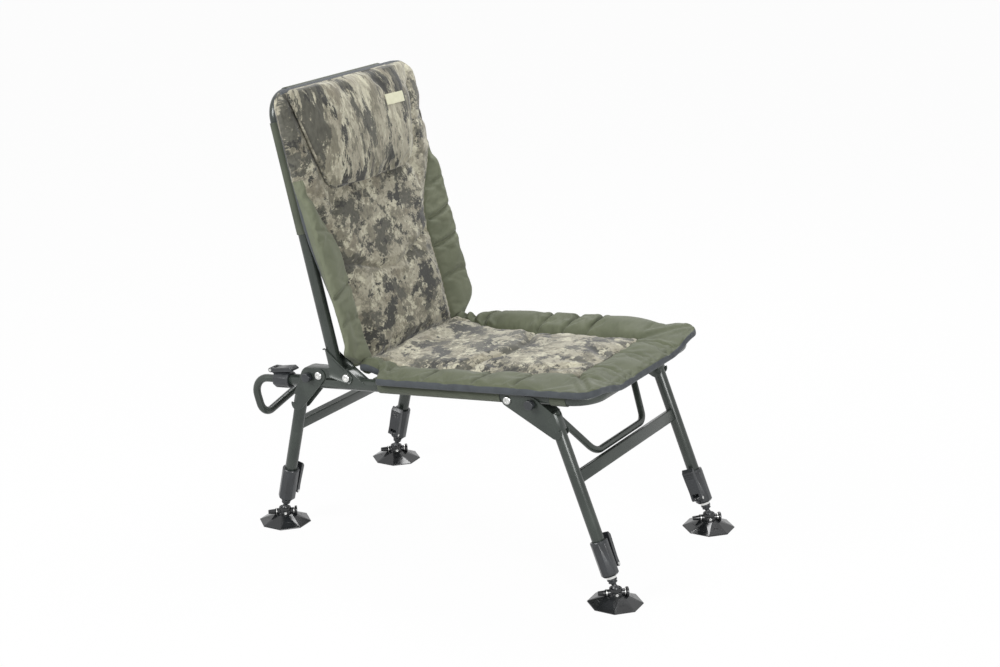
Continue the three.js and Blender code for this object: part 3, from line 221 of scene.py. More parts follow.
def rod(name, radius, low, high, axis="Z", at=(0, 0), sides=32, roll=0.0):
    middle = (low + high) / 2
    place = {"X": (middle, *at), "Y": (at[0], middle, at[1]), "Z": (*at, middle)}[axis]
    turn = {"X": (0, math.pi / 2, 0), "Y": (math.pi / 2, 0, 0), "Z": (0, 0, roll)}[axis]
    bpy.ops.mesh.primitive_cylinder_add(
        vertices=sides, radius=radius * MM, depth=(high - low) * MM, location=mm(*place), rotation=turn
    )
    return settle(name)


def block(name, low, high):
    size = [b - a for a, b in zip(low, high)]
    middle = [(a + b) / 2 for a, b in zip(low, high)]
    bpy.ops.mesh.primitive_cube_add(size=1, location=mm(*middle), scale=mm(*size))
    return settle(name)


def close_ends(piece):
    bpy.ops.mesh.select_all(action="SELECT")
    bpy.ops.mesh.remove_doubles(threshold=0.000005)
    bpy.ops.mesh.select_mode(type="EDGE")
    bpy.ops.mesh.select_all(action="DESELECT")
    bpy.ops.mesh.select_non_manifold()
    bpy.ops.mesh.fill_holes(sides=0)
    return face_outward(piece)


def open_ring(name, radius, place, sides, heading=(0, 0, 0)):
    """A bare ring of edges, open for editing and selected."""
    bpy.ops.mesh.primitive_circle_add(
        vertices=sides, radius=radius * MM, fill_type="NOTHING", location=place, rotation=heading
    )
    piece = settle(name)
    bpy.ops.object.mode_set(mode="EDIT")
    bpy.ops.mesh.select_mode(type="EDGE")
    bpy.ops.mesh.select_all(action="SELECT")
    return piece


def bent_tube(name, corners, bends, radius, sides=36, steps=12):
    """Draws a ring along the corners, and spins it round each corner with the bend's radius."""
    corners = [mm(*corner) for corner in corners]
    heading = (corners[1] - corners[0]).to_track_quat("Z", "Y").to_euler()
    piece = open_ring(name, radius, corners[0], sides, heading)
    here = corners[0]
    for i, bend in enumerate(bends):
        arriving = (corners[i + 1] - corners[i]).normalized()
        leaving = (corners[i + 2] - corners[i + 1]).normalized()
        angle = arriving.angle(leaving)
        reach = bend * MM * math.tan(angle / 2)
        start = corners[i + 1] - arriving * reach
        bpy.ops.mesh.extrude_region_move(TRANSFORM_OT_translate={"value": start - here})
        inward = (leaving - arriving * leaving.dot(arriving)).normalized()
        bpy.ops.mesh.spin(
            steps=steps, angle=angle, center=start + inward * bend * MM, axis=leaving.cross(arriving).normalized()
        )
        here = corners[i + 1] + leaving * reach
    bpy.ops.mesh.extrude_region_move(TRANSFORM_OT_translate={"value": corners[-1] - here})
    close_ends(piece)
    return smooth(round_edges(piece, 0.8, 2, 60))


def turned(name, profile, sides=36, at=(0, 0)):
    """A turned piece: rings of (radius, height), from the first to the last, with both ends closed."""
    radius, height = profile[0]
    piece = open_ring(name, radius, mm(*at, height), sides)
    for wider, higher in profile[1:]:
        bpy.ops.mesh.extrude_region_move(TRANSFORM_OT_translate={"value": mm(0, 0, higher - height)})
        share = wider / radius
        bpy.ops.transform.resize(value=(share, share, 1), center_override=mm(*at, higher))
        radius, height = wider, higher
    return close_ends(piece)


def wrap(piece):
    """Pulls the tightest skin round everything in the piece."""
    edit(piece)
    bpy.ops.mesh.select_all(action="SELECT")
    bpy.ops.mesh.convex_hull()
    bpy.ops.mesh.select_all(action="SELECT")
    bpy.ops.mesh.dissolve_limited(angle_limit=math.radians(0.4))
    return face_outward(piece)


def plate(name, discs, low, high, steps=32):
    """A plate whose outline wraps discs (y, z, radius), standing square to x from low to high."""
    made = [rod(name, max(radius, 0.02), low, high, "X", (y, z), steps) for y, z, radius in discs]
    piece = join(*made) if len(made) > 1 else made[0]
    wrap(piece)
    piece.name = piece.data.name = name
    return piece


# Finishes

def hex_color(text):
    channels = [int(text[i:i + 2], 16) / 255 for i in (0, 2, 4)]
    return (*(c / 12.92 if c <= 0.04045 else ((c + 0.055) / 1.055) ** 2.4 for c in channels), 1.0)


def add_node(tree, kind, links=None, stops=None, **settings):
    """Adds a node. Settings name its properties or inputs, links say what feeds an input, and stops are a ramp's
    places with a hex colour or a grey level."""
    node = tree.nodes.new(kind)
    for name, value in settings.items():
        if hasattr(node, name):
            setattr(node, name, value)
        else:
            node.inputs[name.replace("_", " ")].default_value = value
    while stops and len(node.color_ramp.elements) < len(stops):
        node.color_ramp.elements.new(0.5)
    for element, (place, tone) in zip(node.color_ramp.elements if stops else (), stops or ()):
        element.position = place
        element.color = hex_color(tone) if isinstance(tone, str) else (tone, tone, tone, 1)
    for name, source in (links or {}).items():
        tree.links.new(source, node.inputs[name])
    return node


def new_finish(name, metallic=0.0, ior=None):
    finish = bpy.data.materials.new(name)
    finish.use_nodes = True
    tree = finish.node_tree
    shader = tree.nodes["Principled BSDF"]
    shader.inputs["Metallic"].default_value = metallic
    if ior:
        shader.inputs["IOR"].default_value = ior
    place = tree.nodes.new("ShaderNodeTexCoord").outputs["Object"]
    return finish, tree, shader, place


def hard_finish(name, tones, gloss, cloud, relief=None, metallic=0.0, ior=None):
    """A solid finish: its tone and its gloss both drift over a noise of scale and detail cloud. relief is the scale,
    strength and depth in metres of its grain."""
    finish, tree, shader, place = new_finish(name, metallic, ior)
    drift = add_node(tree, "ShaderNodeTexNoise", {"Vector": place}, Scale=cloud[0], Detail=cloud[1])
    for stops, socket in ((tones, "Base Color"), (gloss, "Roughness")):
        ramp = add_node(tree, "ShaderNodeValToRGB", {"Fac": drift.outputs["Fac"]}, stops)
        tree.links.new(ramp.outputs["Color"], shader.inputs[socket])
    if relief:
        scale, strength, depth = relief
        grain = add_node(tree, "ShaderNodeTexNoise", {"Vector": place}, Scale=scale, Detail=2.0)
        bump = add_node(tree, "ShaderNodeBump", {"Height": grain.outputs["Fac"]}, Strength=strength, Distance=depth)
        tree.links.new(bump.outputs["Normal"], shader.inputs["Normal"])
    return finish


def powder_coat():
    """Polyester powder coat on steel: grey-green, satin, with the faint orange peel of a baked powder."""
    return hard_finish(
        "grey_green_powder_coat", [(0.35, "2f3531"), (0.65, "3b413c")], [(0.3, 0.22), (0.7, 0.32)], (14.0, 3.0),
        (700.0, 0.1, 0.0003), 0.1, 1.5,
    )


def moulded_nylon(name, dark, light, rough):
    """Glass-filled nylon from a steel mould: near black, with a fine even grain. The feet's mould is polished."""
    return hard_finish(
        name, [(0.3, dark), (0.7, light)], [(0.3, rough), (0.7, rough + 0.09)], (40.0, 4.0),
        (1500.0, rough / 2, 0.0002), ior=1.53,
    )


def zinc_plate():
    """Bright zinc plate on turned steel: pale, cool and glossy, slightly clouded by handling."""
    return hard_finish(
        "bright_zinc_plate", [(0.3, "c9cac8"), (0.7, "dededb")], [(0.3, 0.22), (0.7, 0.36)], (90.0, 3.0), metallic=1.0
    )


def threads(tree, pitch, depth):
    """The relief of a plain weave on the cloth's own map. pitch is a thread and its gap, in millimetres."""
    cloth = add_node(tree, "ShaderNodeUVMap", uv_map="cloth").outputs["UV"]
    # A band texture repeats every pi / 10 over its scale
    scale = math.pi / 10 / (pitch * MM)
    warp = add_node(tree, "ShaderNodeTexWave", {"Vector": cloth}, bands_direction="X", Scale=scale)
    weft = add_node(tree, "ShaderNodeTexWave", {"Vector": cloth}, bands_direction="Y", Scale=scale)
    crossing = add_node(
        tree, "ShaderNodeMath", {0: warp.outputs["Fac"], 1: weft.outputs["Fac"]}, operation="MULTIPLY"
    )
    slub = add_node(tree, "ShaderNodeTexNoise", {"Vector": cloth}, Scale=900.0, Detail=3.0)
    relief = add_node(
        tree, "ShaderNodeMath", {0: crossing.outputs["Value"], 1: slub.outputs["Fac"]}, operation="ADD"
    )
    return add_node(tree, "ShaderNodeBump", {"Height": relief.outputs["Value"]}, Strength=0.5, Distance=depth * MM)


def cloth_finish(name, stops, pitch, patch, rough, sheen):
    finish, tree, shader, place = new_finish(name, ior=1.45)
    cloth = add_node(tree, "ShaderNodeUVMap", uv_map="cloth").outputs["UV"]
    fade = add_node(tree, "ShaderNodeTexNoise", {"Vector": cloth}, Scale=1 / (patch * MM), Detail=6.0, Roughness=0.62)
    color = add_node(tree, "ShaderNodeValToRGB", {"Fac": fade.outputs["Fac"]}, stops)
    weave = threads(tree, pitch, 0.25)
    tree.links.new(color.outputs["Color"], shader.inputs["Base Color"])
    tree.links.new(weave.outputs["Normal"], shader.inputs["Normal"])
    shader.inputs["Roughness"].default_value = rough
    shader.inputs["Sheen Weight"].default_value = sheen
    shader.inputs["Sheen Roughness"].default_value = 0.5
    return finish, tree, shader


def olive_cloth(name, dark, light):
    """Coated polyester oxford: dull olive, closely woven. Its 0.5 mm threads are drawn at 1.6 mm to show."""
    return cloth_finish(name, [(0.3, dark), (0.7, light)], 1.6, 60, 0.7, 0.1)[0]


def dark_olive_cloth():
    """The same oxford on the slings, dyed darker: its threads are drawn as coarse."""
    return cloth_finish("dark_olive_polyester_oxford", [(0.3, "41463a"), (0.7, "4f5446")], 1.6, 60, 0.8, 0.1)[0]


def binding_tape():
    """Grosgrain polyester binding: blue-grey, with a rib across it. Its 0.8 mm ribs are drawn at 1.8 mm."""
    return cloth_finish("blue_grey_binding_tape", [(0.3, "33373b"), (0.7, "41464a")], 1.8, 25, 0.7, 0.1)[0]


def camouflage_print():
    """Brushed microfibre, printed: four earth tones in ragged patches of 20 to 70 mm, soft and matt."""
    finish, tree, shader = cloth_finish(
        "camouflage_printed_microfibre", [(0.3, "a19c8a"), (0.7, "b0ab98")], 1.4, 40, 0.9, 0.22
    )
    printed = add_node(tree, "ShaderNodeUVMap", uv_map="print").outputs["UV"]
    tone = shader.inputs["Base Color"].links[0].from_socket
    # Each colour lies over the last: patch size in mm, where it lies, how much of the ground it covers, its tone
    for size, offset, low, high, color in (
        (60, 3.1, 0.500, 0.530, "827e6e"), (46, 7.7, 0.525, 0.560, "c6c2ac"), (85, 4.4, 0.560, 0.600, "86806f"),
        (74, 1.3, 0.520, 0.542, "5a5950"), (66, 5.9, 0.545, 0.566, "3e3e3a"), (17, 9.1, 0.600, 0.630, "aca792"),
        (20, 2.6, 0.620, 0.640, "504f49"),
    ):
        here = add_node(tree, "ShaderNodeMapping", {"Vector": printed}, Location=(offset, offset * 0.7, 0))
        noise = add_node(
            tree, "ShaderNodeTexNoise", {"Vector": here.outputs["Vector"]}, Scale=1 / (size * MM), Detail=8.0,
            Roughness=0.73, Distortion=0.15,
        )
        patch = add_node(tree, "ShaderNodeValToRGB", {"Fac": noise.outputs["Fac"]}, [(low, 0.0), (high, 1.0)])
        layer = add_node(tree, "ShaderNodeMix", data_type="RGBA")
        tree.links.new(patch.outputs["Color"], layer.inputs[0])
        tree.links.new(tone, layer.inputs[6])
        layer.inputs[7].default_value = hex_color(color)
        tone = layer.outputs[2]
    mottle = add_node(tree, "ShaderNodeTexNoise", {"Vector": printed}, Scale=1 / (7 * MM), Detail=4.0, Roughness=0.6)
    ink = add_node(tree, "ShaderNodeValToRGB", {"Fac": mottle.outputs["Fac"]}, [(0.36, 0.72), (0.62, 1.0)])
    layer = add_node(tree, "ShaderNodeMix", data_type="RGBA", blend_type="MULTIPLY")
    layer.inputs[0].default_value = 1.0
    tree.links.new(tone, layer.inputs[6])
    tree.links.new(ink.outputs["Color"], layer.inputs[7])
    tree.links.new(layer.outputs[2], shader.inputs["Base Color"])
    return finish


def woven_label():
    """Woven satin label, left bare: cream with a slight gloss."""
    return cloth_finish("cream_woven_label", [(0.3, "d2d1b4"), (0.7, "dedcc2")], 0.9, 12, 0.6, 0.1)[0]


coat = powder_coat()
nylon = moulded_nylon("black_moulded_nylon", "222426", "2e3134", 0.28)
glossy_nylon = moulded_nylon("polished_black_nylon", "1a1b1c", "232527", 0.13)
zinc = zinc_plate()
olive = olive_cloth("olive_polyester_oxford", "5d624e", "6d715c")
# A darker copy of the same olive oxford for the seat's border: painted shade on its lit top faces
shaded_seat_olive = olive_cloth("shaded_olive_polyester_oxford", "4a4f3b", "595e48")
dark_olive = dark_olive_cloth()
tape = binding_tape()
camouflage = camouflage_print()
label = woven_label()


# Bent frames

FRAME_BEND = 45
RAIL_FRONT, RAIL_REAR = -330, 383.7
HOOP_OUT, HOOP_FOOT, HOOP_TOP = 28.7, 23.3, 569
BAR_START, BAR_TURN, BAR_TUBE = 218.7, 463, 8
BRACE_ROD = 7
PLATE_OUT = 15.6


def mirror_run(half):
    """A run of corners from the left to the middle, and on to the right as its mirror image."""
    return [*half, *((-x, y, z) for x, y, z in reversed(half))]


face = RAIL_HALF - PLATE_OUT
# Each frame's left half, its bends, its tube's radius, sides and steps round a bend, its axes, body and node
for name, half, bends, tube, place, body, node in (
    ("seat_rails", [(RAIL_HALF, RAIL_REAR, 0), (RAIL_HALF, RAIL_FRONT, 0)], [FRAME_BEND] * 2, (TUBE, 36, 12),
     SEAT, "seat", "seat_frame"),
    ("back_hoop", [(RAIL_HALF, HOOP_OUT, HOOP_FOOT), (RAIL_HALF, HOOP_OUT, HOOP_TOP)], [FRAME_BEND] * 2,
     (TUBE, 36, 12), BACK, "back", "back_frame"),
    ("sliding_rear_bar", [
        (RAIL_HALF, BAR_START, 0), (RAIL_HALF, BAR_TURN, 0), (206, BAR_TURN - 14, -84), (60, BAR_TURN - 20, -48),
    ], [34, 22, 60, 60, 22, 34], (BAR_TUBE, 28, 9), SEAT, "rear_bar", "rear_bar"),
    ("front_brace_rod", [(face, 37.6, 376), (face - 18, 37.6, 376), (102, 8.5, 244.7)], [14, 34, 34, 14],
     (BRACE_ROD, 28, 10), FRONT_LEGS, "front_legs", "front_brace"),
):
    wear(moved(bent_tube(name, mirror_run(half), bends, *tube), place), coat, "frame_coat", body, node)


# Legs

def outer_leg(low, top):
    piece = rod("leg", TUBE, low, top, at=(RAIL_HALF, 0), sides=40)
    cut(piece, rod("bore", TUBE - 2.1, low - 2, top - 6, at=(RAIL_HALF, 0), sides=40))
    round_edges(piece, 1.6, 3)
    return smooth(piece)


def crossbar_tube(name, up):
    piece = block(name, (-RAIL_HALF, -7.5, up - 12), (RAIL_HALF, 7.5, up + 12))
    bevel(piece, 2.6, 4, lambda a, b: abs(a.x - b.x) > RAIL_HALF * MM)
    for side in SIDES.values():
        cut(piece, rod("saddle", TUBE + 0.3, up - 20, up + 20, at=(side * RAIL_HALF, 0), sides=40))
    round_edges(piece, 0.5, 2, 50)
    return smooth(piece)


LEG_ENDS = {
    "front": {"axes": FRONT_LEGS, "foot": -388, "clamp": 27.5, "top": 358, "bar": 224.7},
    "rear": {"axes": REAR_LEGS, "foot": 388, "clamp": 24.5, "top": 270, "bar": 199},
}

for end, spec in LEG_ENDS.items():
    tube = outer_leg(spec["clamp"] + 33.3, spec["top"])
    wear_both(
        tube, lambda side: spec["axes"], coat, "frame_coat", f"{end}_*_outer_leg", f"{end}_legs", f"{end}_*_leg_tube"
    )
    put_away(tube)
    bar = moved(crossbar_tube(f"{end}_crossbar_tube", spec["bar"]), spec["axes"])
    wear(bar, coat, "frame_coat", f"{end}_legs", f"{end}_crossbar")


# Pressed channels: hinge plates of the legs and of the back

CHEEK = 15.3
SNUG = 12.8


def channel(name, discs, tube_y, web_side, web_low, web_high):
    """Two cheeks of one outline, folded round the tube at tube_y; web_side is the side of the tube that is closed."""
    x = RAIL_HALF
    reach = 120
    piece = plate(name, discs, x - CHEEK, x + CHEEK)
    closed = (tube_y, tube_y + reach) if web_side > 0 else (tube_y - reach, tube_y)
    opened = (tube_y - reach, tube_y) if web_side > 0 else (tube_y, tube_y + reach)
    beyond = block("beyond", (x - 20, closed[0], web_low), (x + 20, closed[1], web_high))
    cut(beyond, rod("fold", CHEEK, web_low - 5, web_high + 5, at=(x, tube_y), sides=48))
    cut(
        piece,
        beyond,
        rod("tube", SNUG, web_low - 1, web_high + 1, at=(x, tube_y), sides=48),
        block("open_side", (x - SNUG, opened[0], web_low - reach), (x + SNUG, opened[1], web_high + reach)),
        block("above", (x - SNUG, closed[0] - 1, web_high), (x + SNUG, closed[1] + 1, web_high + reach)),
        block("below", (x - SNUG, closed[0] - 1, web_low - reach), (x + SNUG, closed[1] + 1, web_low)),
    )
    round_edges(piece, 0.7, 2, 40)
    return smooth(piece, 30)


def in_leg(end, y, z):
    point = LEG_ENDS[end]["axes"].inverted() @ SEAT @ mm(0, y, z)
    return point.y / MM, point.z / MM


front_hinge, front_knob = in_leg("front", -159, -5), in_leg("front", -211, -9)
rear_hinge, rear_knob = in_leg("rear", 280, 17.5), in_leg("rear", 305.4, 14)
front_outline = [(*front_hinge, 13), (*front_knob, 13), (0, 322, 13.8), (0, 346, 13.8)]
rear_outline = [(*rear_hinge, 15), (*rear_knob, 19), (0, 249.8, 13.8)]
plates = {
    "front": channel("front_plate", front_outline, 0, -1, 322, 358),
    "rear": channel("rear_plate", rear_outline, 0, 1, 249.8, 270),
}
for end, master in plates.items():
    wear_both(
        master, lambda side: LEG_ENDS[end]["axes"], coat, "frame_coat", f"{end}_*_hinge_plate", f"{end}_legs",
        f"{end}_*_leg_plate",
    )
    put_away(master)

back_channel = channel("back_channel", [(0, 0, 13), (38.5, 62, 3), (38.5, 8, 3)], HOOP_OUT, 1, 24.5, 62)
rib = plate("rib", [(2.6, 15.6, 1.3), (22.3, 39.4, 1.3)], RAIL_HALF + 14.6, RAIL_HALF + 16.2, 16)
weld_on(back_channel, rib)
smooth(back_channel, 30)
wear_both(back_channel, lambda side: BACK, coat, "frame_coat", "back_*_hinge_plate", "back", "back_plate_*")
put_away(back_channel)


def rail_bracket():
    x = RAIL_HALF
    outline = [(212, 19.5, 13.5), (308.5, 19.5, 13.5), (166, 0, 0), (322, 0, 0)]
    piece = plate("rail_bracket", outline, x - TUBE, x + TUBE)
    inner = [(212, 19.5, 11.3), (308.5, 19.5, 11.3), (168.2, -2, 0), (319.8, -2, 0)]
    cut(
        piece,
        plate("inside", inner, x - 10.3, x + 10.3),
        rod("rail", TUBE + 0.3, 160, 330, "Y", (x, 0), 48),
        block("slot", (x - 20, 238, 8.5), (x + 20, 265, 12.5)),
    )
    round_edges(piece, 0.7, 2, 40)
    return smooth(piece, 30)


bracket = rail_bracket()
wear_both(bracket, lambda side: SEAT, coat, "frame_coat", "*_rail_bracket", "seat", "rear_bracket_*")
put_away(bracket)


# Hinge bolts and lock knobs

def pivot_bolt():
    """A domed socket-head bolt along x, with its hex nut on the inner side."""
    head = rod("pivot_bolt", 8.2, 15.6, 19.8, "X", sides=40)
    bevel(head, 2.8, 5, lambda a, b: min(a.x, b.x) > 19.7 * MM)
    cut(head, rod("socket", 3.4, 18, 24, "X", sides=6))
    shank = rod("shank", 3, -20, 16.5, "X", sides=20)
    nut = rod("nut", 6.2, -20.1, -15.6, "X", sides=6)
    round_edges(nut, 0.6, 2)
    return smooth(join(head, shank, nut), 35)


def lock_knob():
    """A six-lobed pull knob on a steel pin that stands through the plate."""
    grip = rod("lock_knob", 10.6, 17.6, 28.6, "X", sides=6)
    bevel(grip, 2.6, 4, lambda a, b: abs(a.x - b.x) > 5 * MM)
    round_edges(grip, 1.4, 3, 50)
    collar = rod("collar", 6.5, 15.6, 18, "X", sides=28)
    pin = rod("pin", 3, 12.8, 18, "X", sides=20)
    return smooth(join(grip, collar, pin), 35)


bolt = pivot_bolt()
knob = lock_knob()
BOLTS = {"back_hinge": (212, 16.35), "front_hinge": (-159, -5), "rear_hinge": (280, 17.5)}
KNOBS = {"front": (-211, -9), "rear": (305.4, 14)}


def on_rail(y, z):
    return lambda side: SEAT @ Matrix.Translation(mm(side * RAIL_HALF, y, z))


for hinge, spot in BOLTS.items():
    wear_both(bolt, on_rail(*spot), zinc, "bright_steel", f"{hinge}_*_bolt", "seat", f"{hinge}_bolt_*")
for end, spot in KNOBS.items():
    wear_both(
        knob, on_rail(*spot), nylon, "black_plastic", f"{end}_*_lock_knob", f"{end}_lock_*", f"{end}_lock_pin_*"
    )
put_away(bolt, knob)


# Cam clamps and their levers. Their own axes: z runs up the tube from the mouth, and the lever is on +x.

CAM_OUT = 21.2
FLATS = 33
LEG_CAM = {"length": 71.5, "seat": 33, "bore": 10.3, "cam": 15, "tip": 80}
TAIL_CAM = {"length": 41, "seat": 17, "bore": 8.3, "cam": -3, "tip": 52}


def edgewise(piece):
    """Turns a plate so that its outline lies in x and z and its thickness along y."""
    return moved(piece, Matrix.Rotation(-math.pi / 2, 4, "Z"))


def clamp_body(name, length, seat, bore, cam, tip):
    sleeve_top = length - 5.5
    body = rod(name, FLATS / 2 / math.cos(math.pi / 8), 0, sleeve_top, sides=8, roll=math.pi / 8)
    bevel(body, 3.4, 1, lambda a, b: max(a.z, b.z) < 0.1 * MM)
    round_edges(body, 0.9, 3, 30)
    collar = turned("collar", [(16.9, sleeve_top - 2), (17.4, sleeve_top), (17.4, length - 1.2), (16.6, length)], 48)
    ears = edgewise(plate("ears", [(CAM_OUT, cam, 5), (12.5, max(cam - 5, 0.2), 0), (12.5, cam + 10, 0)], -7, 7))
    round_edges(ears, 0.7, 2, 40)
    weld_on(body, collar, ears)
    cut(
        body,
        rod("inner_tube", bore, -2, seat + 2, sides=40),
        rod("outer_tube", TUBE + 0.35, seat, length + 2, sides=48),
        block("slit", (0, -1, cam - 25), (28, 1, length - 12)),
        rod("pin_hole", 2.5, -20, 20, "Y", (CAM_OUT, cam), 24),
    )
    round_edges(body, 0.35, 1, 60)
    return smooth(body, 28)


def clamp_lever(name, length, seat, bore, cam, tip):
    shoulder = cam + 14.4
    handle = edgewise(plate(name, [
        (22.4, tip - 2.1, 2.1), (26.2, tip - 8, 2.3), (19.3, shoulder, 2.1), (23.0, shoulder, 2.3),
    ], -12.5, 12.5))
    eye = edgewise(plate("eye", [(CAM_OUT, cam, 4.8), (23.0, shoulder, 2.3), (19.3, shoulder, 2.1)], -12.5, 12.5))
    weld_on(handle, eye)
    cut(
        handle,
        block("gate", (0, -7.3, cam - 25), (48, 7.3, cam + 11)),
        block("hollow_inside", (15, -9.6, shoulder + 4), (20.6, 9.6, tip - 9)),
    )
    round_edges(handle, 1.0, 3, 30)
    for up in (tip - 12, tip - 16, tip - 20):
        cut(handle, rod("finger_groove", 0.9, -9, 9, "Y", (28.55 - (tip - 8 - up) * 0.062, up), 16))
    return smooth(handle, 30)


def cam_pin(cam):
    pin = rod("cam_pin", 2.2, -12.4, 12.4, "Y", (CAM_OUT, cam), 24)
    for side in (-1, 1):
        low, high = sorted((side * 12.1, side * 13.4))
        weld_on(pin, rod("pin_head", 3.1, low, high, "Y", (CAM_OUT, cam), 28))
    round_edges(pin, 0.5, 2, 50)
    return smooth(pin, 35)


def on_leg(end, side):
    """Seats a clamp piece on a leg, with its lever towards the chair's middle."""
    place = LEG_ENDS[end]["axes"] @ Matrix.Translation(mm(side * RAIL_HALF, 0, LEG_ENDS[end]["clamp"]))
    return place @ Matrix.Rotation(math.pi, 4, "Z") if side > 0 else place


def on_tail(side):
    """Lays a clamp piece on a rail's rear end, with its lever on top."""
    lie = Matrix(((0, -1, 0, side * 0.21), (0, 0, -1, 0.401), (1, 0, 0, 0), (0, 0, 0, 1)))
    return SEAT @ lie


leg_pieces = (clamp_body("leg_clamp", **LEG_CAM), clamp_lever("leg_lever", **LEG_CAM), cam_pin(LEG_CAM["cam"]))
tail_pieces = (clamp_body("tail_clamp", **TAIL_CAM), clamp_lever("tail_lever", **TAIL_CAM), cam_pin(TAIL_CAM["cam"]))
for word, side in SIDES.items():
    for end in LEG_ENDS:
        leg = f"{end}_{word}"
        body, lever, pin = (moved(copied(p, f"{leg}_{p.name}_dressed"), on_leg(end, side)) for p in leg_pieces)
        wear(body, nylon, "black_plastic", f"{end}_legs", f"{leg}_clamp")
        wear(lever, nylon, "black_plastic", f"{leg}_lever", f"{leg}_clamp_lever")
        wear(pin, zinc, "bright_steel", f"{leg}_lever")
    body, lever, pin = (moved(copied(p, f"{word}_{p.name}_dressed"), on_tail(side)) for p in tail_pieces)
    wear(body, nylon, "black_plastic", "seat", f"tail_clamp_{word}")
    wear(lever, nylon, "black_plastic", f"tail_lever_{word}", f"tail_lever_{word}")
    wear(pin, zinc, "bright_steel", f"tail_lever_{word}")
put_away(*leg_pieces, *tail_pieces)


# Telescopic inner legs, ball stems and mud feet

BALL_UP = 28
LUG_UP = 21.5
FOOT_YAW = math.radians(-50)
SKIRT_TURN = math.radians(8.5)


def inner_leg():
    piece = rod("inner_leg", 10, 22.5, 237.5, sides=40)
    cut(piece, rod("bore", 8.4, 20, 240, sides=40))
    round_edges(piece, 0.4, 2)
    return smooth(piece)


def ball_stem():
    """A moulded stem: the ball, a waisted neck, two stepped rings and the plug that holds it in the inner leg."""
    ball = [(8.5 * math.sin(a), -8.5 * math.cos(a)) for a in (math.pi * k / 16 for k in range(1, 13))]
    steps = [
        (4.9, 8.5), (4.7, 11.0), (5.4, 12.4), (8.4, 13.6), (8.8, 14.4), (8.8, 16.0), (8.2, 16.5),
        (8.2, 17.6), (9.2, 18.4), (9.9, 19.2), (9.9, 21.6), (9.4, 22.2), (8.1, 22.2), (8.1, 46.2),
    ]
    piece = turned("ball_stem", ball + steps, 40)
    for i in range(6):
        turn = i * math.pi / 3
        cut(piece, rod("flute", 0.9, 13, 18, at=(9.3 * math.cos(turn), 9.3 * math.sin(turn)), sides=12))
    return smooth(piece, 35)


def mud_foot():
    """A moulded octagonal foot. Its axes: origin on the ground under the ball, x along its swivel lugs."""
    corner = math.pi / 8 + SKIRT_TURN
    rim = rod("mud_foot", 54, 0, 2.0, sides=8, roll=corner)
    round_edges(rim, 0.5, 2)
    skirt = wrap(join(
        rod("skirt", 53.0, 1.2, 2.2, sides=8, roll=corner),
        rod("shoulder", 17, 16.2, 17.5, sides=8, roll=SKIRT_TURN),
    ))
    weld_on(rim, skirt)
    under = wrap(join(
        rod("under", 51.2, -1, 0.6, sides=8, roll=corner),
        rod("under_top", 14.8, 13.8, 14.9, sides=8, roll=SKIRT_TURN),
    ))
    cut(rim, under)
    for i in range(4):
        turn = SKIRT_TURN + i * math.pi / 2
        slot = wrap(join(
            rod("slot", 1.4, 8.8, 20, at=(35, -4), sides=20), rod("slot_end", 1.4, 8.8, 20, at=(35, 4), sides=20)
        ))
        cut(rim, moved(slot, Matrix.Rotation(turn, 4, "Z")))
    up = LUG_UP
    cup = turned("cup", [
        (16, 14.8), (15.4, 17.6), (13.2, 19.6), (12.5, 22), (12.5, 29.8), (12.1, 31), (11.2, 31.5),
    ], 40)
    lug = rod("lug", 6.8, -20, 20, "X", (0, up), 32)
    cap = rod("cap", 10, 20, 25, "X", (0, up), 40)
    round_edges(cap, 1.3, 3)
    toggle = wrap(join(
        rod("toggle", 5.4, -21, -19, "X", (0, up), 28), rod("toggle_end", 4.2, -35, -33, "X", (0, up), 28)
    ))
    round_edges(toggle, 1.6, 3)
    keeper = block("keeper", (-9, -14.2, 17.5), (9, 0, 25.5))
    round_edges(keeper, 1.2, 2)
    weld_on(cup, lug, cap, toggle, keeper)
    bpy.ops.mesh.primitive_uv_sphere_add(segments=40, ring_count=24, radius=8.85 * MM, location=mm(0, 0, BALL_UP))
    cut(cup, settle("socket"), turned("mouth", [(8.0, BALL_UP + 1), (11.7, 32.5)], 40))
    weld_on(rim, cup)
    round_edges(rim, 0.35, 1, 50)
    vertices = rim.data.vertices
    pick(rim, "EDGE", lambda e: all(
        vertices[v].co.z < 17.8 * MM and vertices[v].co.xy.length > 14.4 * MM for v in e.vertices
    ))
    bpy.ops.mesh.mark_sharp()
    leave(rim)
    return smooth(rim, 24)


def foot_fittings():
    """Bright washers at the lugs and the keeper's screw."""
    up = LUG_UP
    washers = [rod("foot_fittings", 7.6, low, low + 1.2, "X", (0, up), 36) for low in (-18.6, 17.2)]
    screw = rod("screw", 2.9, -15.4, -13.8, "Y", (0, up), 28)
    cut(screw, rod("socket", 1.5, -16, -14.6, "Y", (0, up), 6))
    piece = join(*washers, screw)
    round_edges(piece, 0.3, 2, 50)
    return smooth(piece, 35)


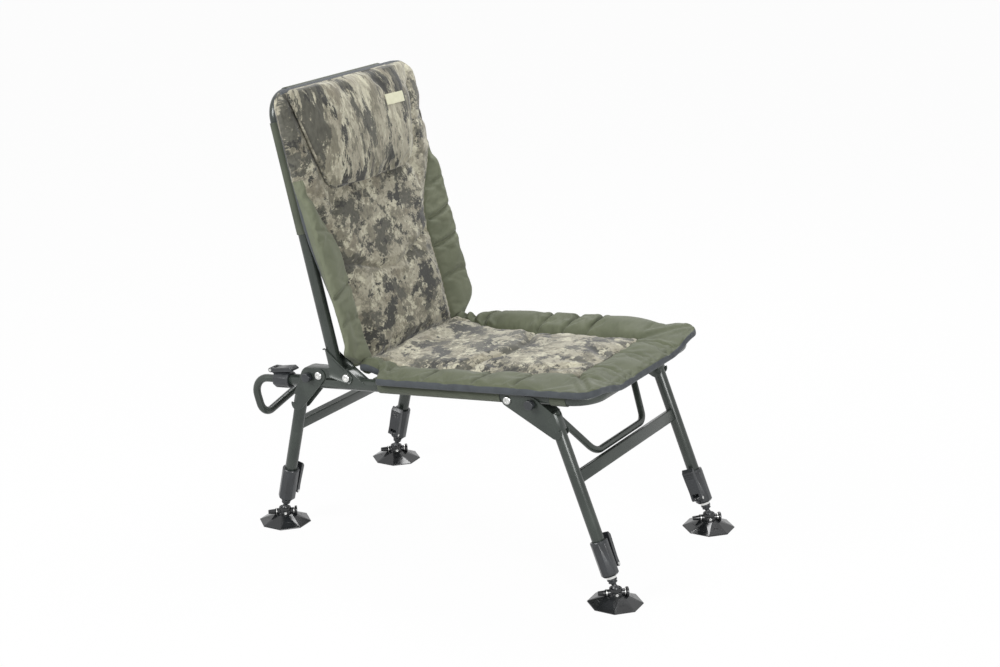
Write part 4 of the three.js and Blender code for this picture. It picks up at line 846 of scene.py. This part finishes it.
inner, stem, foot, fittings = inner_leg(), ball_stem(), mud_foot(), foot_fittings()
for end, spec in LEG_ENDS.items():
    for word, side in SIDES.items():
        leg = f"{end}_{word}"
        on_side = spec["axes"] @ Matrix.Translation(mm(side * RAIL_HALF, 0, 0))
        tube = moved(copied(inner, f"{leg}_sliding_leg"), on_side)
        wear(tube, zinc, "bright_steel", f"{leg}_extension", f"{leg}_inner_leg")
        swivel = moved(copied(stem, f"{leg}_stem"), on_side)
        wear(swivel, nylon, "black_plastic", f"{leg}_extension", f"{leg}_ball_stem")
        stand = Matrix.Translation(mm(side * RAIL_HALF, spec["foot"], 0))
        on_ground = CHAIR @ stand @ Matrix.Rotation(FOOT_YAW, 4, "Z")
        tread = moved(copied(foot, f"{leg}_octagon_foot"), on_ground)
        wear(tread, glossy_nylon, "black_plastic", f"{leg}_foot", f"{leg}_mud_foot")
        wear(moved(copied(fittings, f"{leg}_foot_fittings"), on_ground), zinc, "bright_steel", f"{leg}_foot")
put_away(inner, stem, foot, fittings)


# Soft goods. A cover is drawn on flat axes: x across, t along and h off what it lies on, all in millimetres.

def corner_inset(distance, radius):
    """How much narrower a cover with round corners is at a distance from its end."""
    left = np.clip(radius - distance, 0, radius)
    return radius - np.sqrt(radius * radius - left * left)


def ease(value, low, high):
    share = np.clip((value - low) / (high - low), 0, 1)
    return share * share * (3 - 2 * share)


def mix(low, high, share):
    return low + (high - low) * share


def swell(share, square=2.0):
    """The stuffing between two seams, for a share from 0 to 1 of the way across; a higher square is boxier."""
    return np.clip(1 - np.abs(2 * np.clip(share, 0, 1) - 1) ** square, 0, 1) ** (1 / square)


def off_path(x, t, path):
    """How far places lie from a seam that runs through the points of a path."""
    nearest = np.full(np.shape(x), 1e9)
    for (x0, t0), (x1, t1) in zip(path, path[1:]):
        run_x, run_t = x1 - x0, t1 - t0
        share = np.clip(((x - x0) * run_x + (t - t0) * run_t) / (run_x ** 2 + run_t ** 2), 0, 1)
        nearest = np.minimum(nearest, np.hypot(x - x0 - share * run_x, t - t0 - share * run_t))
    return nearest


def spaced(stops, step):
    """Values from the first stop to the last, at most a step apart, with each stop kept."""
    values = [stops[0]]
    for low, high in zip(stops, stops[1:]):
        count = max(1, math.ceil((high - low) / step))
        values += [low + (high - low) * (i + 1) / count for i in range(count)]
    return np.array(values)


def outline_of(rows, columns):
    """The places of a grid's rim, in order round it."""
    rim = [(0, j) for j in range(columns)]
    rim += [(i, columns - 1) for i in range(1, rows)]
    rim += [(rows - 1, j) for j in range(columns - 2, -1, -1)]
    rim += [(i, 0) for i in range(rows - 2, 0, -1)]
    return rim


def grid_faces(rows, columns, first=0):
    corners = (first + i * columns + j for i in range(rows - 1) for j in range(columns - 1))
    return [[k, k + 1, k + columns + 1, k + columns] for k in corners]


def mapped_mesh(name, points, faces, corners):
    """A mesh whose cloth and print maps both start as the given places of each face's corners."""
    mesh = bpy.data.meshes.new(name)
    mesh.from_pydata(points, [], faces)
    for layer in ("cloth", "print"):
        uv = mesh.uv_layers.new(name=layer).data
        for polygon, spots in zip(mesh.polygons, corners):
            for loop, spot in zip(polygon.loop_indices, spots):
                uv[loop].uv = spot
    piece = bpy.data.objects.new(name, mesh)
    bpy.context.scene.collection.objects.link(piece)
    return piece


def sewn_cover(name, x, t, h, depth, tuck, rings, place, region, finishes):
    """A quilted top, a band of the given depth round its rim, and an underside turned in from it, left open.
    rings are (share, out, finish): up to 1 the share runs down the band, and from 1 to 2 back up to the base.
    tuck(t) is how far the base stands in from the rim."""
    rows, columns = x.shape
    points = [place(*spot) for spot in zip(x.ravel(), t.ravel(), h.ravel())]
    maps = [(px * MM, pt * MM) for px, pt in zip(x.ravel(), t.ravel())]
    faces = grid_faces(rows, columns)
    corners = [[maps[k] for k in face] for face in faces]
    tones = [region(x.ravel()[face].mean(), t.ravel()[face].mean()) for face in faces]
    rim = outline_of(rows, columns)
    line = np.array([(x[k], t[k]) for k in rim])
    run = np.roll(line, -1, axis=0) - np.roll(line, 1, axis=0)
    run /= np.maximum(np.linalg.norm(run, axis=1, keepdims=True), 1e-9)
    lengths = np.linalg.norm(np.roll(line, -1, axis=0) - line, axis=1)
    along = np.concatenate([[0], np.cumsum(lengths)]) * MM
    above = [i * columns + j for i, j in rim]
    high, band = 0.0, []
    for share, out, finish in rings:
        below = []
        for k, (px, pt) in enumerate(line):
            top = h[rim[k]]
            height = top - (depth or top - 0.5) * min(share, 1)
            height += (0.3 - height) * max(share - 1, 0)
            ripple = 0.35 * math.sin(along[k] * 310) * math.sin(along[k] * 83 + 1) if 0 < share < 1 else 0
            inward = math.copysign(float(tuck(pt)) * min(share, 1), px) if 0 < rim[k][0] < rows - 1 else 0
            below.append(len(points))
            points.append(place(px + run[k, 1] * (out + ripple) - inward, pt - run[k, 0] * (out + ripple), height))
        low = high - 0.3 * (depth or 16) * MM
        for k in range(len(rim)):
            after = (k + 1) % len(rim)
            faces.append([above[after], above[k], below[k], below[after]])
            corners.append([(along[k + 1], high), (along[k], high), (along[k], low), (along[k + 1], low)])
            beside = region(*(line[k] - 4 * np.array([run[k, 1], -run[k, 0]])))
            tones.append(beside if finish is None else finish)
        above, high = below, low
        band += below
    piece = mapped_mesh(name, points, faces, corners)
    for finish in finishes:
        piece.data.materials.append(finish)
    piece.data.polygons.foreach_set("material_index", tones)
    edit(piece)
    return face_outward(piece), band


def spots_of(piece):
    found = np.empty(len(piece.data.vertices) * 3)
    piece.data.vertices.foreach_get("co", found)
    return found.reshape(-1, 3)


LAST_FRAME = 20


def stuff(piece, sewn, force, slack, reach):
    """Fills a cover: pressure swells it between its sewn points, which stay, and no point moves beyond reach."""
    scene = bpy.context.scene
    start = spots_of(piece)
    piece.vertex_groups.new(name="sewn").add([int(i) for i in sewn], 1.0, "REPLACE")
    only(piece)
    bpy.ops.object.modifier_add(type="CLOTH")
    cloth = piece.modifiers[-1]
    for setting, value in {
        "quality": 6, "mass": 0.25, "tension_stiffness": 20, "compression_stiffness": 20, "shear_stiffness": 8,
        "bending_stiffness": 0.25, "vertex_group_mass": "sewn", "use_pressure": True,
        "uniform_pressure_force": force, "shrink_min": -slack,
    }.items():
        setattr(cloth.settings, setting, value)
    cloth.settings.effector_weights.gravity = 0
    cloth.point_cache.frame_start = 1
    cloth.point_cache.frame_end = LAST_FRAME
    for frame_number in range(1, LAST_FRAME + 1):
        scene.frame_set(frame_number)
    bpy.ops.object.modifier_apply(modifier=cloth.name)
    scene.frame_set(1)
    shift = spots_of(piece) - start
    length = np.linalg.norm(shift, axis=1, keepdims=True)
    shift *= np.minimum(1, reach / np.maximum(length, 1e-9))
    piece.data.vertices.foreach_set("co", (start + shift).ravel())
    piece.data.update()
    return piece


def close_below(piece, finish_index, flat_map):
    """Smooths a cover once and closes its open underside with one flat face."""
    only(piece)
    piece.vertex_groups.clear()
    change = piece.modifiers.new("smooth", "SUBSURF")
    change.levels = change.render_levels = 1
    bpy.ops.object.modifier_apply(modifier=change.name)
    bpy.ops.object.mode_set(mode="EDIT")
    bpy.ops.mesh.select_mode(type="EDGE")
    bpy.ops.mesh.select_all(action="DESELECT")
    bpy.ops.mesh.select_non_manifold()
    bpy.ops.mesh.edge_face_add()
    leave(piece)
    base = max(piece.data.polygons, key=lambda f: len(f.vertices))
    base.material_index = finish_index
    for layer in piece.data.uv_layers:
        for loop in base.loop_indices:
            layer.data[loop].uv = flat_map(piece.data.vertices[piece.data.loops[loop].vertex_index].co)
    edit(piece)
    face_outward(piece)
    bpy.ops.object.shade_smooth()
    return piece


def gathers(along, away, depth, pitch=13):
    """Small puckers beside a seam, dying out over a few millimetres."""
    return depth * (0.5 + 0.5 * np.cos(2 * math.pi * along / pitch + 1.7 * np.sin(along / 29))) * np.exp(-away / 8)


def crease(x, t, path, depth):
    """A stitched fold: sharp at the stitch, with two short tucks at its inner end and cloth heaped beside it."""
    away = off_path(x, t, path)
    (x0, t0), (x1, t1) = path[:2]
    fold = depth * np.exp(-(away / 3.6) ** 2) - 0.2 * depth * np.exp(-((away - 12) / 6) ** 2)
    for turn in (-0.55, 0.6):
        tip = (x0 + 0.8 * (x1 - x0) - turn * (t1 - t0), t0 + 0.8 * (t1 - t0) + turn * (x1 - x0))
        fold = fold + 0.35 * depth * np.exp(-(off_path(x, t, [(x0, t0), tip]) / 3) ** 2)
    return fold


def grid_over(along, borders, panels, half, seam):
    """Rows along t, and columns at shares of the border and then of the panel, the same on both sides."""
    right = [mix(half, seam, share) for share in borders] + [seam * (1 - share) for share in panels]
    x = np.stack([*right, *(-column for column in reversed(right[:-1]))], axis=1)[:, ::-1]
    return x, np.repeat(along[:, None], x.shape[1], axis=1)


RIM = (np.s_[0, :], np.s_[-1, :], np.s_[:, 0], np.s_[:, -1])
SEAT_BASE = 14.9
BACK_BASE = 13.8
PILLOW_BASE = -13.5
PILLOW_RIM = 9
# The pressure in a pad, the slack in its cloth, and how far in metres the cloth may move
CUSHION_FILL = (1.6, 0.03, 0.0055)
PILLOW_FILL = (1.8, 0.045, 0.007)


def finish_pad(piece, node, body):
    """Seats a padded piece on its body, hides the part it stands for and gives it a mesh of its own."""
    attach(piece, body)
    if node:
        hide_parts(node)
    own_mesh(piece)
    return piece


# The seat cushion: a camouflage panel inside a stuffed olive border. Its far side is the fuller one, its near
# side is flattened, and its front edge sags over the bar between the corners.

SEAT_FRONT, SEAT_REAR, SEAT_HALF, PANEL_FRONT = -347, 201, 237, -264
SEAT_QUILTS = [
    [(152, -13), (195, -20), (234, -15)], [(146, -74), (190, -82), (234, -77)],
    [(140, -130), (185, -141), (234, -134)], [(-150, 28), (-200, 21), (-234, 26)],
    [(-148, -84), (-192, -91), (-234, -86)], [(-140, -175), (-188, -183), (-234, -176)],
    [(-129, -264), (-176, -300), (-224, -336)], [(129, -264), (176, -300), (224, -336)],
    [(-150, -262), (-143, -304), (-156, -345)], [(-82, -264), (-74, -306), (-86, -346)],
    [(28, -264), (38, -306), (24, -346)], [(100, -264), (122, -306), (118, -346)],
    [(156, 120), (172, 128), (200, 122)], [(158, 146), (172, 154), (188, 153)], [(162, 172), (172, 178), (184, 176)],
    [(-156, 122), (-172, 132), (-198, 126)], [(-158, 152), (-172, 158), (-186, 156)],
]
SEAT_CROSS = [(-142, -12), (-95, -27), (-48, -49), (0, -60), (48, -49), (95, -27), (142, -12)]


def seat_half(t):
    return mix(SEAT_HALF - corner_inset(t - SEAT_FRONT, 34), 188, ease(t, 128, 158))


def seat_seam(t):
    return mix(125, 160, (t - SEAT_FRONT) / (SEAT_REAR - SEAT_FRONT))


def seat_rim(x, t):
    side = mix(8, 9, ease(x, -40, 40))
    front = mix(-8, side, ease(np.abs(x), 105, 205))
    return mix(front, side, ease(t, -338, -292)) + 12 * ease(t, 140, 192)


def seat_height(x, t):
    ax, full = np.abs(x), ease(x, -40, 40)
    half, seam, rim = seat_half(t), seat_seam(t), seat_rim(x, t)
    seam_up = 2 + 4 * ease(-t, 150, 264) + 9 * ease(t, 40, 137)
    across = np.clip((ax - seam) / (half - seam), 0, 1)
    crest = mix(15, 28, full) * mix(0.72, 1, ease(t, -300, -190))
    crest = mix(crest, 31, ease(t, 118, 168))
    side = mix(seam_up, rim, across) + (crest - (seam_up + rim) / 2) * swell(across, 2.4)
    back_from = np.clip((t - SEAT_FRONT) / (PANEL_FRONT - SEAT_FRONT), 0, 1)
    front = mix(seat_rim(x, SEAT_FRONT + 0 * t), 6, back_from) + 7.5 * swell(back_from, 2.3)
    mitre = ease((ax - 130) / 1.28 - (PANEL_FRONT - t), -9, 9)
    inside = np.minimum(seam - ax, t - PANEL_FRONT)
    panel = seam_up + (13 - seam_up) * (1 - np.exp(-np.clip(inside, 0, None) / 17)) + 2 * (1 - (x / seam) ** 2)
    from_cross = off_path(x, t, SEAT_CROSS)
    panel = panel - (panel - 1.5) * np.exp(-(from_cross / 8) ** 2) * (0.25 + 0.75 * ease(ax, 5, 105))
    panel = panel + 2.5 * np.exp(-((from_cross - 24) / 13) ** 2)
    panel = mix(panel, 29, ease(t, 118, 188))
    height = np.where(inside > 0, panel, np.where(t < PANEL_FRONT, mix(front, side, mitre), side))
    for path in SEAT_QUILTS:
        deep = 6.5 if path[0][1] < -250 else mix(7, 12, full)
        room = np.clip((half - ax) / 9, 0, 1) * np.clip((t - SEAT_FRONT) / 9, 0, 1)
        height = height - crease(x, t, path, deep) * room
    beside = np.abs(np.where(t > PANEL_FRONT, ax - seam, 99))
    height = height - gathers(t, beside, 1.6) - gathers(x, np.abs(t - PANEL_FRONT) + 99 * (ax > 128), 1.4)
    lumps = np.sin(x / 29 + 1.3) * np.sin(t / 33 + 0.4) + 0.6 * np.sin(x / 15 - t / 21)
    height = height + 0.8 * lumps * (ax < half - 8)
    return rim + (height - rim) * np.sqrt(np.clip((SEAT_REAR - t) / 14, 0, 1))


def seat_cushion():
    stops = [
        SEAT_FRONT, -346, -343, -338, -330, -268, PANEL_FRONT - 2, PANEL_FRONT, PANEL_FRONT + 2, -258, 188, 197,
        SEAT_REAR,
    ]
    borders = np.array([
        0, 0.02, 0.055, 0.1, 0.16, 0.23, 0.3, 0.38, 0.46, 0.54, 0.62, 0.7, 0.78, 0.85, 0.91, 0.955, 0.985, 1,
    ])
    panels = np.concatenate([[0.015, 0.045, 0.085], np.linspace(0.13, 1, 24)])
    along = spaced(stops, 4)
    x, t = grid_over(along, borders, panels, seat_half(along), seat_seam(along))
    h = seat_height(x, t)
    rim = seat_rim(x, t)
    for side in RIM:
        h[side] = rim[side]
    rings = [
        (0.06, 1.4, 2), (0.4, 2.6, 2), (0.78, 2.5, 2), (1.0, 1.0, 2), (1.03, -2.6, 2), (1.45, -3.6, 1),
        (1.85, -8.5, 1), (2.0, -17, 1),
    ]
    piece, band = sewn_cover(
        "seat_cushion_cover", x, t, h, 13.5, lambda pt: 0, rings,
        lambda px, pt, ph: SEAT @ mm(px, pt, SEAT_BASE + ph),
        lambda px, pt: 0 if abs(px) < seat_seam(pt) and pt > PANEL_FRONT else 1,
        # The border's olive is the darker copy of the oxford: painted shade
        [camouflage, shaded_seat_olive, tape],
    )
    sewn = (np.abs(t - PANEL_FRONT) < 1) & (np.abs(x) < 131)
    for side in SIDES.values():
        sewn |= off_path(x, t, [(side * 130.4, PANEL_FRONT), (side * 160, SEAT_REAR)]) < 1.2
    for path in (*SEAT_QUILTS, SEAT_CROSS[:3], SEAT_CROSS[-3:]):
        sewn |= off_path(x, t, path) < 2.6
    stuff(piece, [*np.flatnonzero(sewn.ravel()), *band], *CUSHION_FILL)
    close_below(piece, 1, lambda spot: (spot.x, spot.y))
    return finish_pad(piece, "seat_cushion", "seat")


seat_cushion()


# The back cushion: a camouflage panel that spreads to the full width above two olive wings

BACK_LOW, BACK_TOP, BACK_HALF, WING_TOP = 12, 580, 238, 404
PILLOW_LOW, PILLOW_TOP, PILLOW_SHIFT = 368, 576, -14
LUMBAR = [(-160, 222), (-110, 207), (-55, 187), (0, 177), (55, 187), (110, 207), (160, 222)]
WING_FOLDS = [
    [(166, 108), (205, 114), (236, 110)], [(164, 180), (206, 187), (236, 194)],
    [(168, 240), (208, 247), (236, 256)], [(186, 306), (214, 313), (236, 320)],
    [(-164, 176), (-204, 168), (-236, 160)], [(-166, 104), (-206, 108), (-236, 102)],
    [(-182, 290), (-212, 297), (-236, 304)],
]
FOLD_DEPTHS = [6, 11, 12, 6, 11, 4, 5]


def back_half(t):
    return mix(194, BACK_HALF - corner_inset(BACK_TOP - t, 50), ease(t, 12, 52))


def back_tuck(t):
    """The wings flare: their outer edge overhangs the line where the cushion is sewn to the sling."""
    return np.clip(back_half(t) - mix(194, 229, ease(t, 60, 340)), 0, 54)


def back_lean(t):
    """The cushion hangs a little to the sitter's left towards its lower end."""
    return 14 * (1 - ease(t, 30, 310))


def back_rim(t):
    return mix(11, 29, ease(t, 26, 70) * (1 - ease(t, 320, 408)))


def back_seam(t):
    return np.minimum(mix(158, back_half(t) - 12, ease(t, 232, WING_TOP)), back_half(t) - 12)


def pillow_half(t):
    straight = mix(144, 205, np.clip((t - PILLOW_LOW) / (PILLOW_TOP - PILLOW_LOW), 0, 1))
    return straight - corner_inset(t - PILLOW_LOW, 26) - corner_inset(PILLOW_TOP - t, 13)


def back_height(x, t):
    ax = np.abs(x)
    half, seam = back_half(t), back_seam(t)
    wing = 1 - ease(t, 290, WING_TOP)
    rim, seam_up = back_rim(t), mix(22, 17, wing)
    across = np.clip((ax - seam) / np.maximum(half - seam, 1), 0, 1)
    crest = mix(24, 34, ease(wing, 0, 0.5))
    bolster = mix(seam_up, rim, across) + (crest - (seam_up + rim) / 2) * swell(across ** 1.15, 2.8)
    pillow_edge = pillow_half(t) + PILLOW_SHIFT * np.sign(x)
    inside = seam - ax
    panel = seam_up + (25.5 - seam_up) * (1 - np.exp(-np.clip(inside, 0, None) / 15))
    from_lumbar = off_path(x, t, LUMBAR)
    panel = panel - 8.5 * np.exp(-(from_lumbar / 6) ** 2) * (0.45 + 0.55 * ease(ax, 10, 110))
    panel = panel + 2.6 * np.exp(-((from_lumbar - 17) / 10) ** 2) * ease(t, 150, 200)
    beside = np.clip((half - ax) / np.maximum(half - pillow_edge - 2, 4), 0, 1)
    strip = rim + (33 - rim) * swell(beside * 0.93, 2.0)
    edge = rim + (panel - rim) * swell(np.clip((half - ax) / 40, 0, 0.5), 2.2)
    upper = ease(t, 366, 398)
    outer = np.where(ax > pillow_edge + 1, mix(edge, strip, upper), np.minimum(edge, 26))
    height = np.where(
        inside > 0, mix(panel, outer, ease(1 - wing, 0, 0.7)), mix(bolster, outer, ease(1 - wing, 0.6, 1))
    )
    for path, deep in zip(WING_FOLDS, FOLD_DEPTHS):
        room = np.clip((ax - seam + 6) / 12, 0, 1) * np.clip((half - ax) / 9, 0.2, 1) * wing
        height = height - crease(x, t, path, deep) * room
    height = height - gathers(t, np.abs(ax - seam), 1.8) * wing
    lumps = np.sin(x / 31 + 0.7) * np.sin(t / 37 + 1.9) + 0.6 * np.sin(x / 17 + t / 25)
    height = height + 0.8 * lumps * wing
    height = height - (1.2 + 1.2 * np.sin(t / 9 + np.sin(t / 31))) * upper * (ax > pillow_edge + 4) * (beside > 0.1)
    ends = np.sqrt(np.clip((t - BACK_LOW) / 9, 0, 1)) * np.sqrt(np.clip((BACK_TOP - t) / 30, 0, 1))
    return rim + (height - rim) * ends


def back_cushion():
    borders = np.array([0, 0.025, 0.06, 0.11, 0.17, 0.25, 0.34, 0.44, 0.54, 0.64, 0.73, 0.81, 0.88, 0.94, 0.98, 1])
    panels = np.concatenate([[0.015, 0.045, 0.08, 0.12], np.linspace(0.165, 1, 26)])
    along = spaced([BACK_LOW, 13, 16, 21, 28, 550, 564, 573, 578, BACK_TOP], 4)
    x, t = grid_over(along, borders, panels, back_half(along), back_seam(along))
    h = back_height(x, t)
    for side in RIM:
        h[side] = back_rim(t[side])
    rings = [
        (0.04, 0.5, None), (0.14, 0.9, None), (0.38, 0.9, None), (0.66, 1.0, None), (0.74, 1.4, 2), (0.95, 1.2, 2),
        (1.0, 0.0, 2), (2.0, -3, 1),
    ]
    piece, band = sewn_cover(
        "back_cushion_cover", x, t, h, None, back_tuck, rings,
        lambda px, pt, ph: BACK @ mm(px + back_lean(pt), BACK_BASE - ph, pt),
        lambda px, pt: 2 if pt > 573 else 0 if abs(px) < back_seam(pt) or pt > WING_TOP else 1,
        [camouflage, olive, tape],
    )
    seam = [(float(back_seam(v)), float(v)) for v in np.linspace(BACK_LOW, WING_TOP, 60)]
    sewn = (off_path(x, t, seam) < 1.2) | (off_path(-x, t, seam) < 1.2)
    sewn |= (np.abs(x - PILLOW_SHIFT) < pillow_half(t) - 6) & (t > PILLOW_LOW + 10)
    for path in (*WING_FOLDS, LUMBAR[:3], LUMBAR[-3:]):
        sewn |= off_path(x, t, path) < 2.6
    stuff(piece, [*np.flatnonzero(sewn.ravel()), *band], *CUSHION_FILL)
    close_below(piece, 1, lambda spot: (spot.x, spot.z))
    return finish_pad(piece, "back_cushion", "back")


back_cushion()


# The head pillow, gathered at its top so that the print runs down it in long streaks, and its bare tag

def pillow_height(x, t):
    across = np.clip(1 - np.clip(np.abs(x) / pillow_half(t), 0, 1) ** 6, 0, 1)
    along = (t - PILLOW_LOW) / (PILLOW_TOP - PILLOW_LOW)
    crown = np.sin(math.pi * np.clip(mix(0.06, 0.9, along), 0, 1)) ** 0.5
    folds = np.cos(x / 11.5 + 0.9 * np.sin(x / 37)) * (0.6 + 0.4 * np.sin(x / 23 + 1))
    return PILLOW_RIM + (29 * crown - (1.4 + 1.8 * folds) * ease(along, 0.15, 1.0)) * np.sqrt(across)


def head_pillow():
    along = spaced([PILLOW_LOW, 369, 372, 377, 384, 560, 569, 574, PILLOW_TOP], 5)
    half = pillow_half(along)
    x, t = grid_over(along, np.array([0, 0.01, 0.035, 0.07, 0.115]), np.linspace(0.045, 1, 34), half, 0.84 * half)
    h = pillow_height(x, t)
    for side in RIM:
        h[side] = PILLOW_RIM
    rings = [(0.2, 1.4, 0), (0.5, 1.8, 0), (0.85, 0.6, 0), (1.0, -3.0, 0)]
    piece, band = sewn_cover(
        "head_pillow_cover", x, t, h, 8.7, lambda pt: 0, rings,
        lambda px, pt, ph: BACK @ mm(px + PILLOW_SHIFT, PILLOW_BASE - ph, pt),
        lambda px, pt: 0, [camouflage],
    )
    for loop in piece.data.uv_layers["print"].data:
        loop.uv = (loop.uv[0] * 1.3, loop.uv[1] * 0.42 + 0.31)
    stuff(piece, band, *PILLOW_FILL)
    close_below(piece, 0, lambda spot: (spot.x, spot.z))
    return finish_pad(piece, "head_pillow", "back")


TAG_WIDE, TAG_HIGH = 64, 22
TAG_X, TAG_Z, TAG_TURN = 78, 509, math.radians(-1.5)


def pillow_label(pillow):
    """A woven tag laid on the pillow's face."""
    forward = BACK.to_3x3() @ Vector((0, -1, 0))
    points, maps = [], []
    across, up = np.linspace(-TAG_WIDE / 2, TAG_WIDE / 2, 17), np.linspace(-TAG_HIGH / 2, TAG_HIGH / 2, 8)
    for v in up:
        for u in across:
            x = TAG_X + u * math.cos(TAG_TURN) - v * math.sin(TAG_TURN)
            z = TAG_Z + u * math.sin(TAG_TURN) + v * math.cos(TAG_TURN)
            _, spot, _, _ = pillow.ray_cast(BACK @ mm(x, -120, z), -forward)
            points.append(spot + forward * 0.9 * MM)
            maps.append((u * MM, v * MM))
    tag = cloth_of("pillow_label", points, grid_faces(len(up), len(across)), maps, 1.0)
    wear(tag, label, "cream_tag", "back", "pillow_tag")
    return finish_pad(tag, None, "back")


def cloth_of(name, points, faces, maps, thick):
    """A cloth of the given thickness in millimetres, half of it on each side of its points."""
    piece = only(mapped_mesh(name, points, faces, [[maps[k] for k in face] for face in faces]))
    change = piece.modifiers.new("thickness", "SOLIDIFY")
    change.thickness = thick * MM
    change.offset = 0
    bpy.ops.object.modifier_apply(modifier=change.name)
    edit(piece)
    return smooth(face_outward(piece), 50)


pillow = head_pillow()
pillow_label(pillow)


# The slings: cloth laid over the tubes' upper side and sewn round them in sleeves

SLING_ROUND = 13.6
SLING_STEP = 14


def sling(name, node, body, half_at, stops, sleeves, top_sleeve, lay):
    """half_at gives the half width along t. sleeves are (low, high) along the side tubes, which the cloth wraps.
    lay(x, t, h) places a point of the cloth, with h from the plane of the tubes' centres towards the sitter."""
    points, faces, maps = [], [], []

    def add_grid(spots, flats):
        faces.extend(grid_faces(len(spots), len(spots[0]), len(points)))
        points.extend(lay(*spot) for row in spots for spot in row)
        maps.extend((u * MM, v * MM) for row in flats for u, v in row)

    rows = spaced(stops, SLING_STEP)
    shares = np.linspace(-1, 1, 31)
    add_grid(
        [[(s * half_at(t), t, SLING_ROUND) for s in shares] for t in rows],
        [[(s * half_at(t), t) for s in shares] for t in rows],
    )
    # Each turn: how far round the tube it is, and its place out from the tube's centre and towards the sitter
    turns = [
        (SLING_ROUND * a, SLING_ROUND * math.sin(a), SLING_ROUND * math.cos(a))
        for a in np.radians(np.linspace(0, 265, 24))
    ]
    for low, high in sleeves:
        run = spaced([low, high], SLING_STEP)
        for side in SIDES.values():
            add_grid(
                [[(side * (RAIL_HALF + out), t, up) for _, out, up in turns] for t in run],
                [[(side * (RAIL_HALF + gone), t) for gone, _, _ in turns] for t in run],
            )
    if top_sleeve:
        centre, half = top_sleeve
        run = spaced([-half, half], SLING_STEP)
        add_grid(
            [[(x, centre + out, up) for _, out, up in turns] for x in run],
            [[(x, centre + gone) for gone, _, _ in turns] for x in run],
        )
    piece = cloth_of(name, points, faces, maps, 1.5)
    wear(piece, dark_olive, "olive_fabric", body, node)
    return piece


def seat_sling_half(t):
    return RAIL_HALF - corner_inset(t - RAIL_FRONT, FRAME_BEND)


def back_sling_half(t):
    return mix(186, RAIL_HALF - corner_inset(HOOP_TOP - t, FRAME_BEND), ease(t, 284, 296))


sling(
    "seat_sling_cloth", "seat_sling", "seat", seat_sling_half, [RAIL_FRONT, -322, -283, -250, -140, 140, 158],
    [(-140, 140), (-283, -250)], None, lambda x, t, h: SEAT @ mm(x, t, h),
)
sling(
    "back_sling_cloth", "back_sling", "back", back_sling_half, [20, 282, 297, 522, 560, HOOP_TOP],
    [(297, 522)], (HOOP_TOP, 163), lambda x, t, h: BACK @ mm(x, HOOP_OUT - h, t),
)


# Stage, camera and light

AMBIENT = 0.13


def seen_directly(tree):
    """1 for what the camera sees, straight, in a polished surface or through a clear one; 0 for lighting rays."""
    path = add_node(tree, "ShaderNodeLightPath")
    mirrored_too = add_node(
        tree, "ShaderNodeMath",
        {0: path.outputs["Is Camera Ray"], 1: path.outputs["Is Glossy Ray"]}, operation="MAXIMUM",
    )
    return add_node(
        tree, "ShaderNodeMath",
        {0: mirrored_too.outputs["Value"], 1: path.outputs["Is Transmission Ray"]}, operation="MAXIMUM",
    ).outputs["Value"]


def white_surround():
    """A white studio: full white where it is seen, and a faint even light on the chair."""
    world = bpy.data.worlds.new("white_surround")
    bpy.context.scene.world = world
    world.use_nodes = True
    tree = world.node_tree
    background = tree.nodes["Background"]
    background.inputs["Color"].default_value = (1, 1, 1, 1)
    strength = add_node(tree, "ShaderNodeMapRange", {"Value": seen_directly(tree)}, To_Min=AMBIENT, To_Max=1.0)
    tree.links.new(strength.outputs["Result"], background.inputs["Strength"])


def white_floor():
    """Matt white paper that burns out to plain white and keeps a trace of the chair's shadow."""
    finish, tree, shader, place = new_finish("matt_white_paper")
    shader.inputs["Base Color"].default_value = (0.86, 0.86, 0.86, 1)
    shader.inputs["Roughness"].default_value = 0.95
    shader.inputs["Specular IOR Level"].default_value = 0.1
    glow = add_node(tree, "ShaderNodeEmission", Strength=1.0)
    share = add_node(tree, "ShaderNodeMapRange", {"Value": seen_directly(tree)}, To_Min=0.0, To_Max=0.97)
    blend = add_node(
        tree, "ShaderNodeMixShader",
        {"Fac": share.outputs["Result"], 1: shader.outputs["BSDF"], 2: glow.outputs["Emission"]},
    )
    tree.links.new(blend.outputs["Shader"], tree.nodes["Material Output"].inputs["Surface"])
    return finish


def soft_lamp(name, place, aim, size, power):
    lamp_data = bpy.data.lights.new(name, "AREA")
    lamp_data.shape = "DISK"
    lamp_data.size = size
    lamp_data.energy = power
    lamp = bpy.data.objects.new(name, lamp_data)
    bpy.context.scene.collection.objects.link(lamp)
    lamp.location = place
    lamp.rotation_euler = (Vector(aim) - Vector(place)).to_track_quat("-Z", "Y").to_euler()


white_surround()
soft_lamp("key", (-2.8, 1.5, 2.3), (0, 0, 0.45), 1.5, 94)
soft_lamp("overhead", (1.1, 0.15, 2.2), (1.1, 0.15, 0), 1.15, 36)
soft_lamp("front", (-1.9, -2.9, 1.7), (0, 0, 0.5), 1.6, 82)

bpy.ops.mesh.primitive_plane_add(size=60, location=(0, 0, -0.0005))
floor = settle("floor")
floor.data.materials.append(white_floor())

bpy.context.scene.view_settings.view_transform = "Standard"
# In millimetres of lens and sensor, and the way the camera looks round and down on the chair
LENS, SENSOR = 69.768, 36
AZIMUTH, ELEVATION = math.radians(-59.4), math.radians(17.7)
camera_data = bpy.data.cameras.new("camera")
camera_data.lens = LENS
camera_data.sensor_width = SENSOR
camera = bpy.data.objects.new("camera", camera_data)
bpy.context.scene.collection.objects.link(camera)
camera.location = (-3.2053, -1.9050 + ORIGIN_SHIFT * MM, 1.6057)
level = math.cos(ELEVATION)
look = Vector((-math.sin(AZIMUTH) * level, math.cos(AZIMUTH) * level, -math.sin(ELEVATION)))
camera.rotation_euler = look.to_track_quat("-Z", "Y").to_euler()
bpy.context.scene.camera = camera
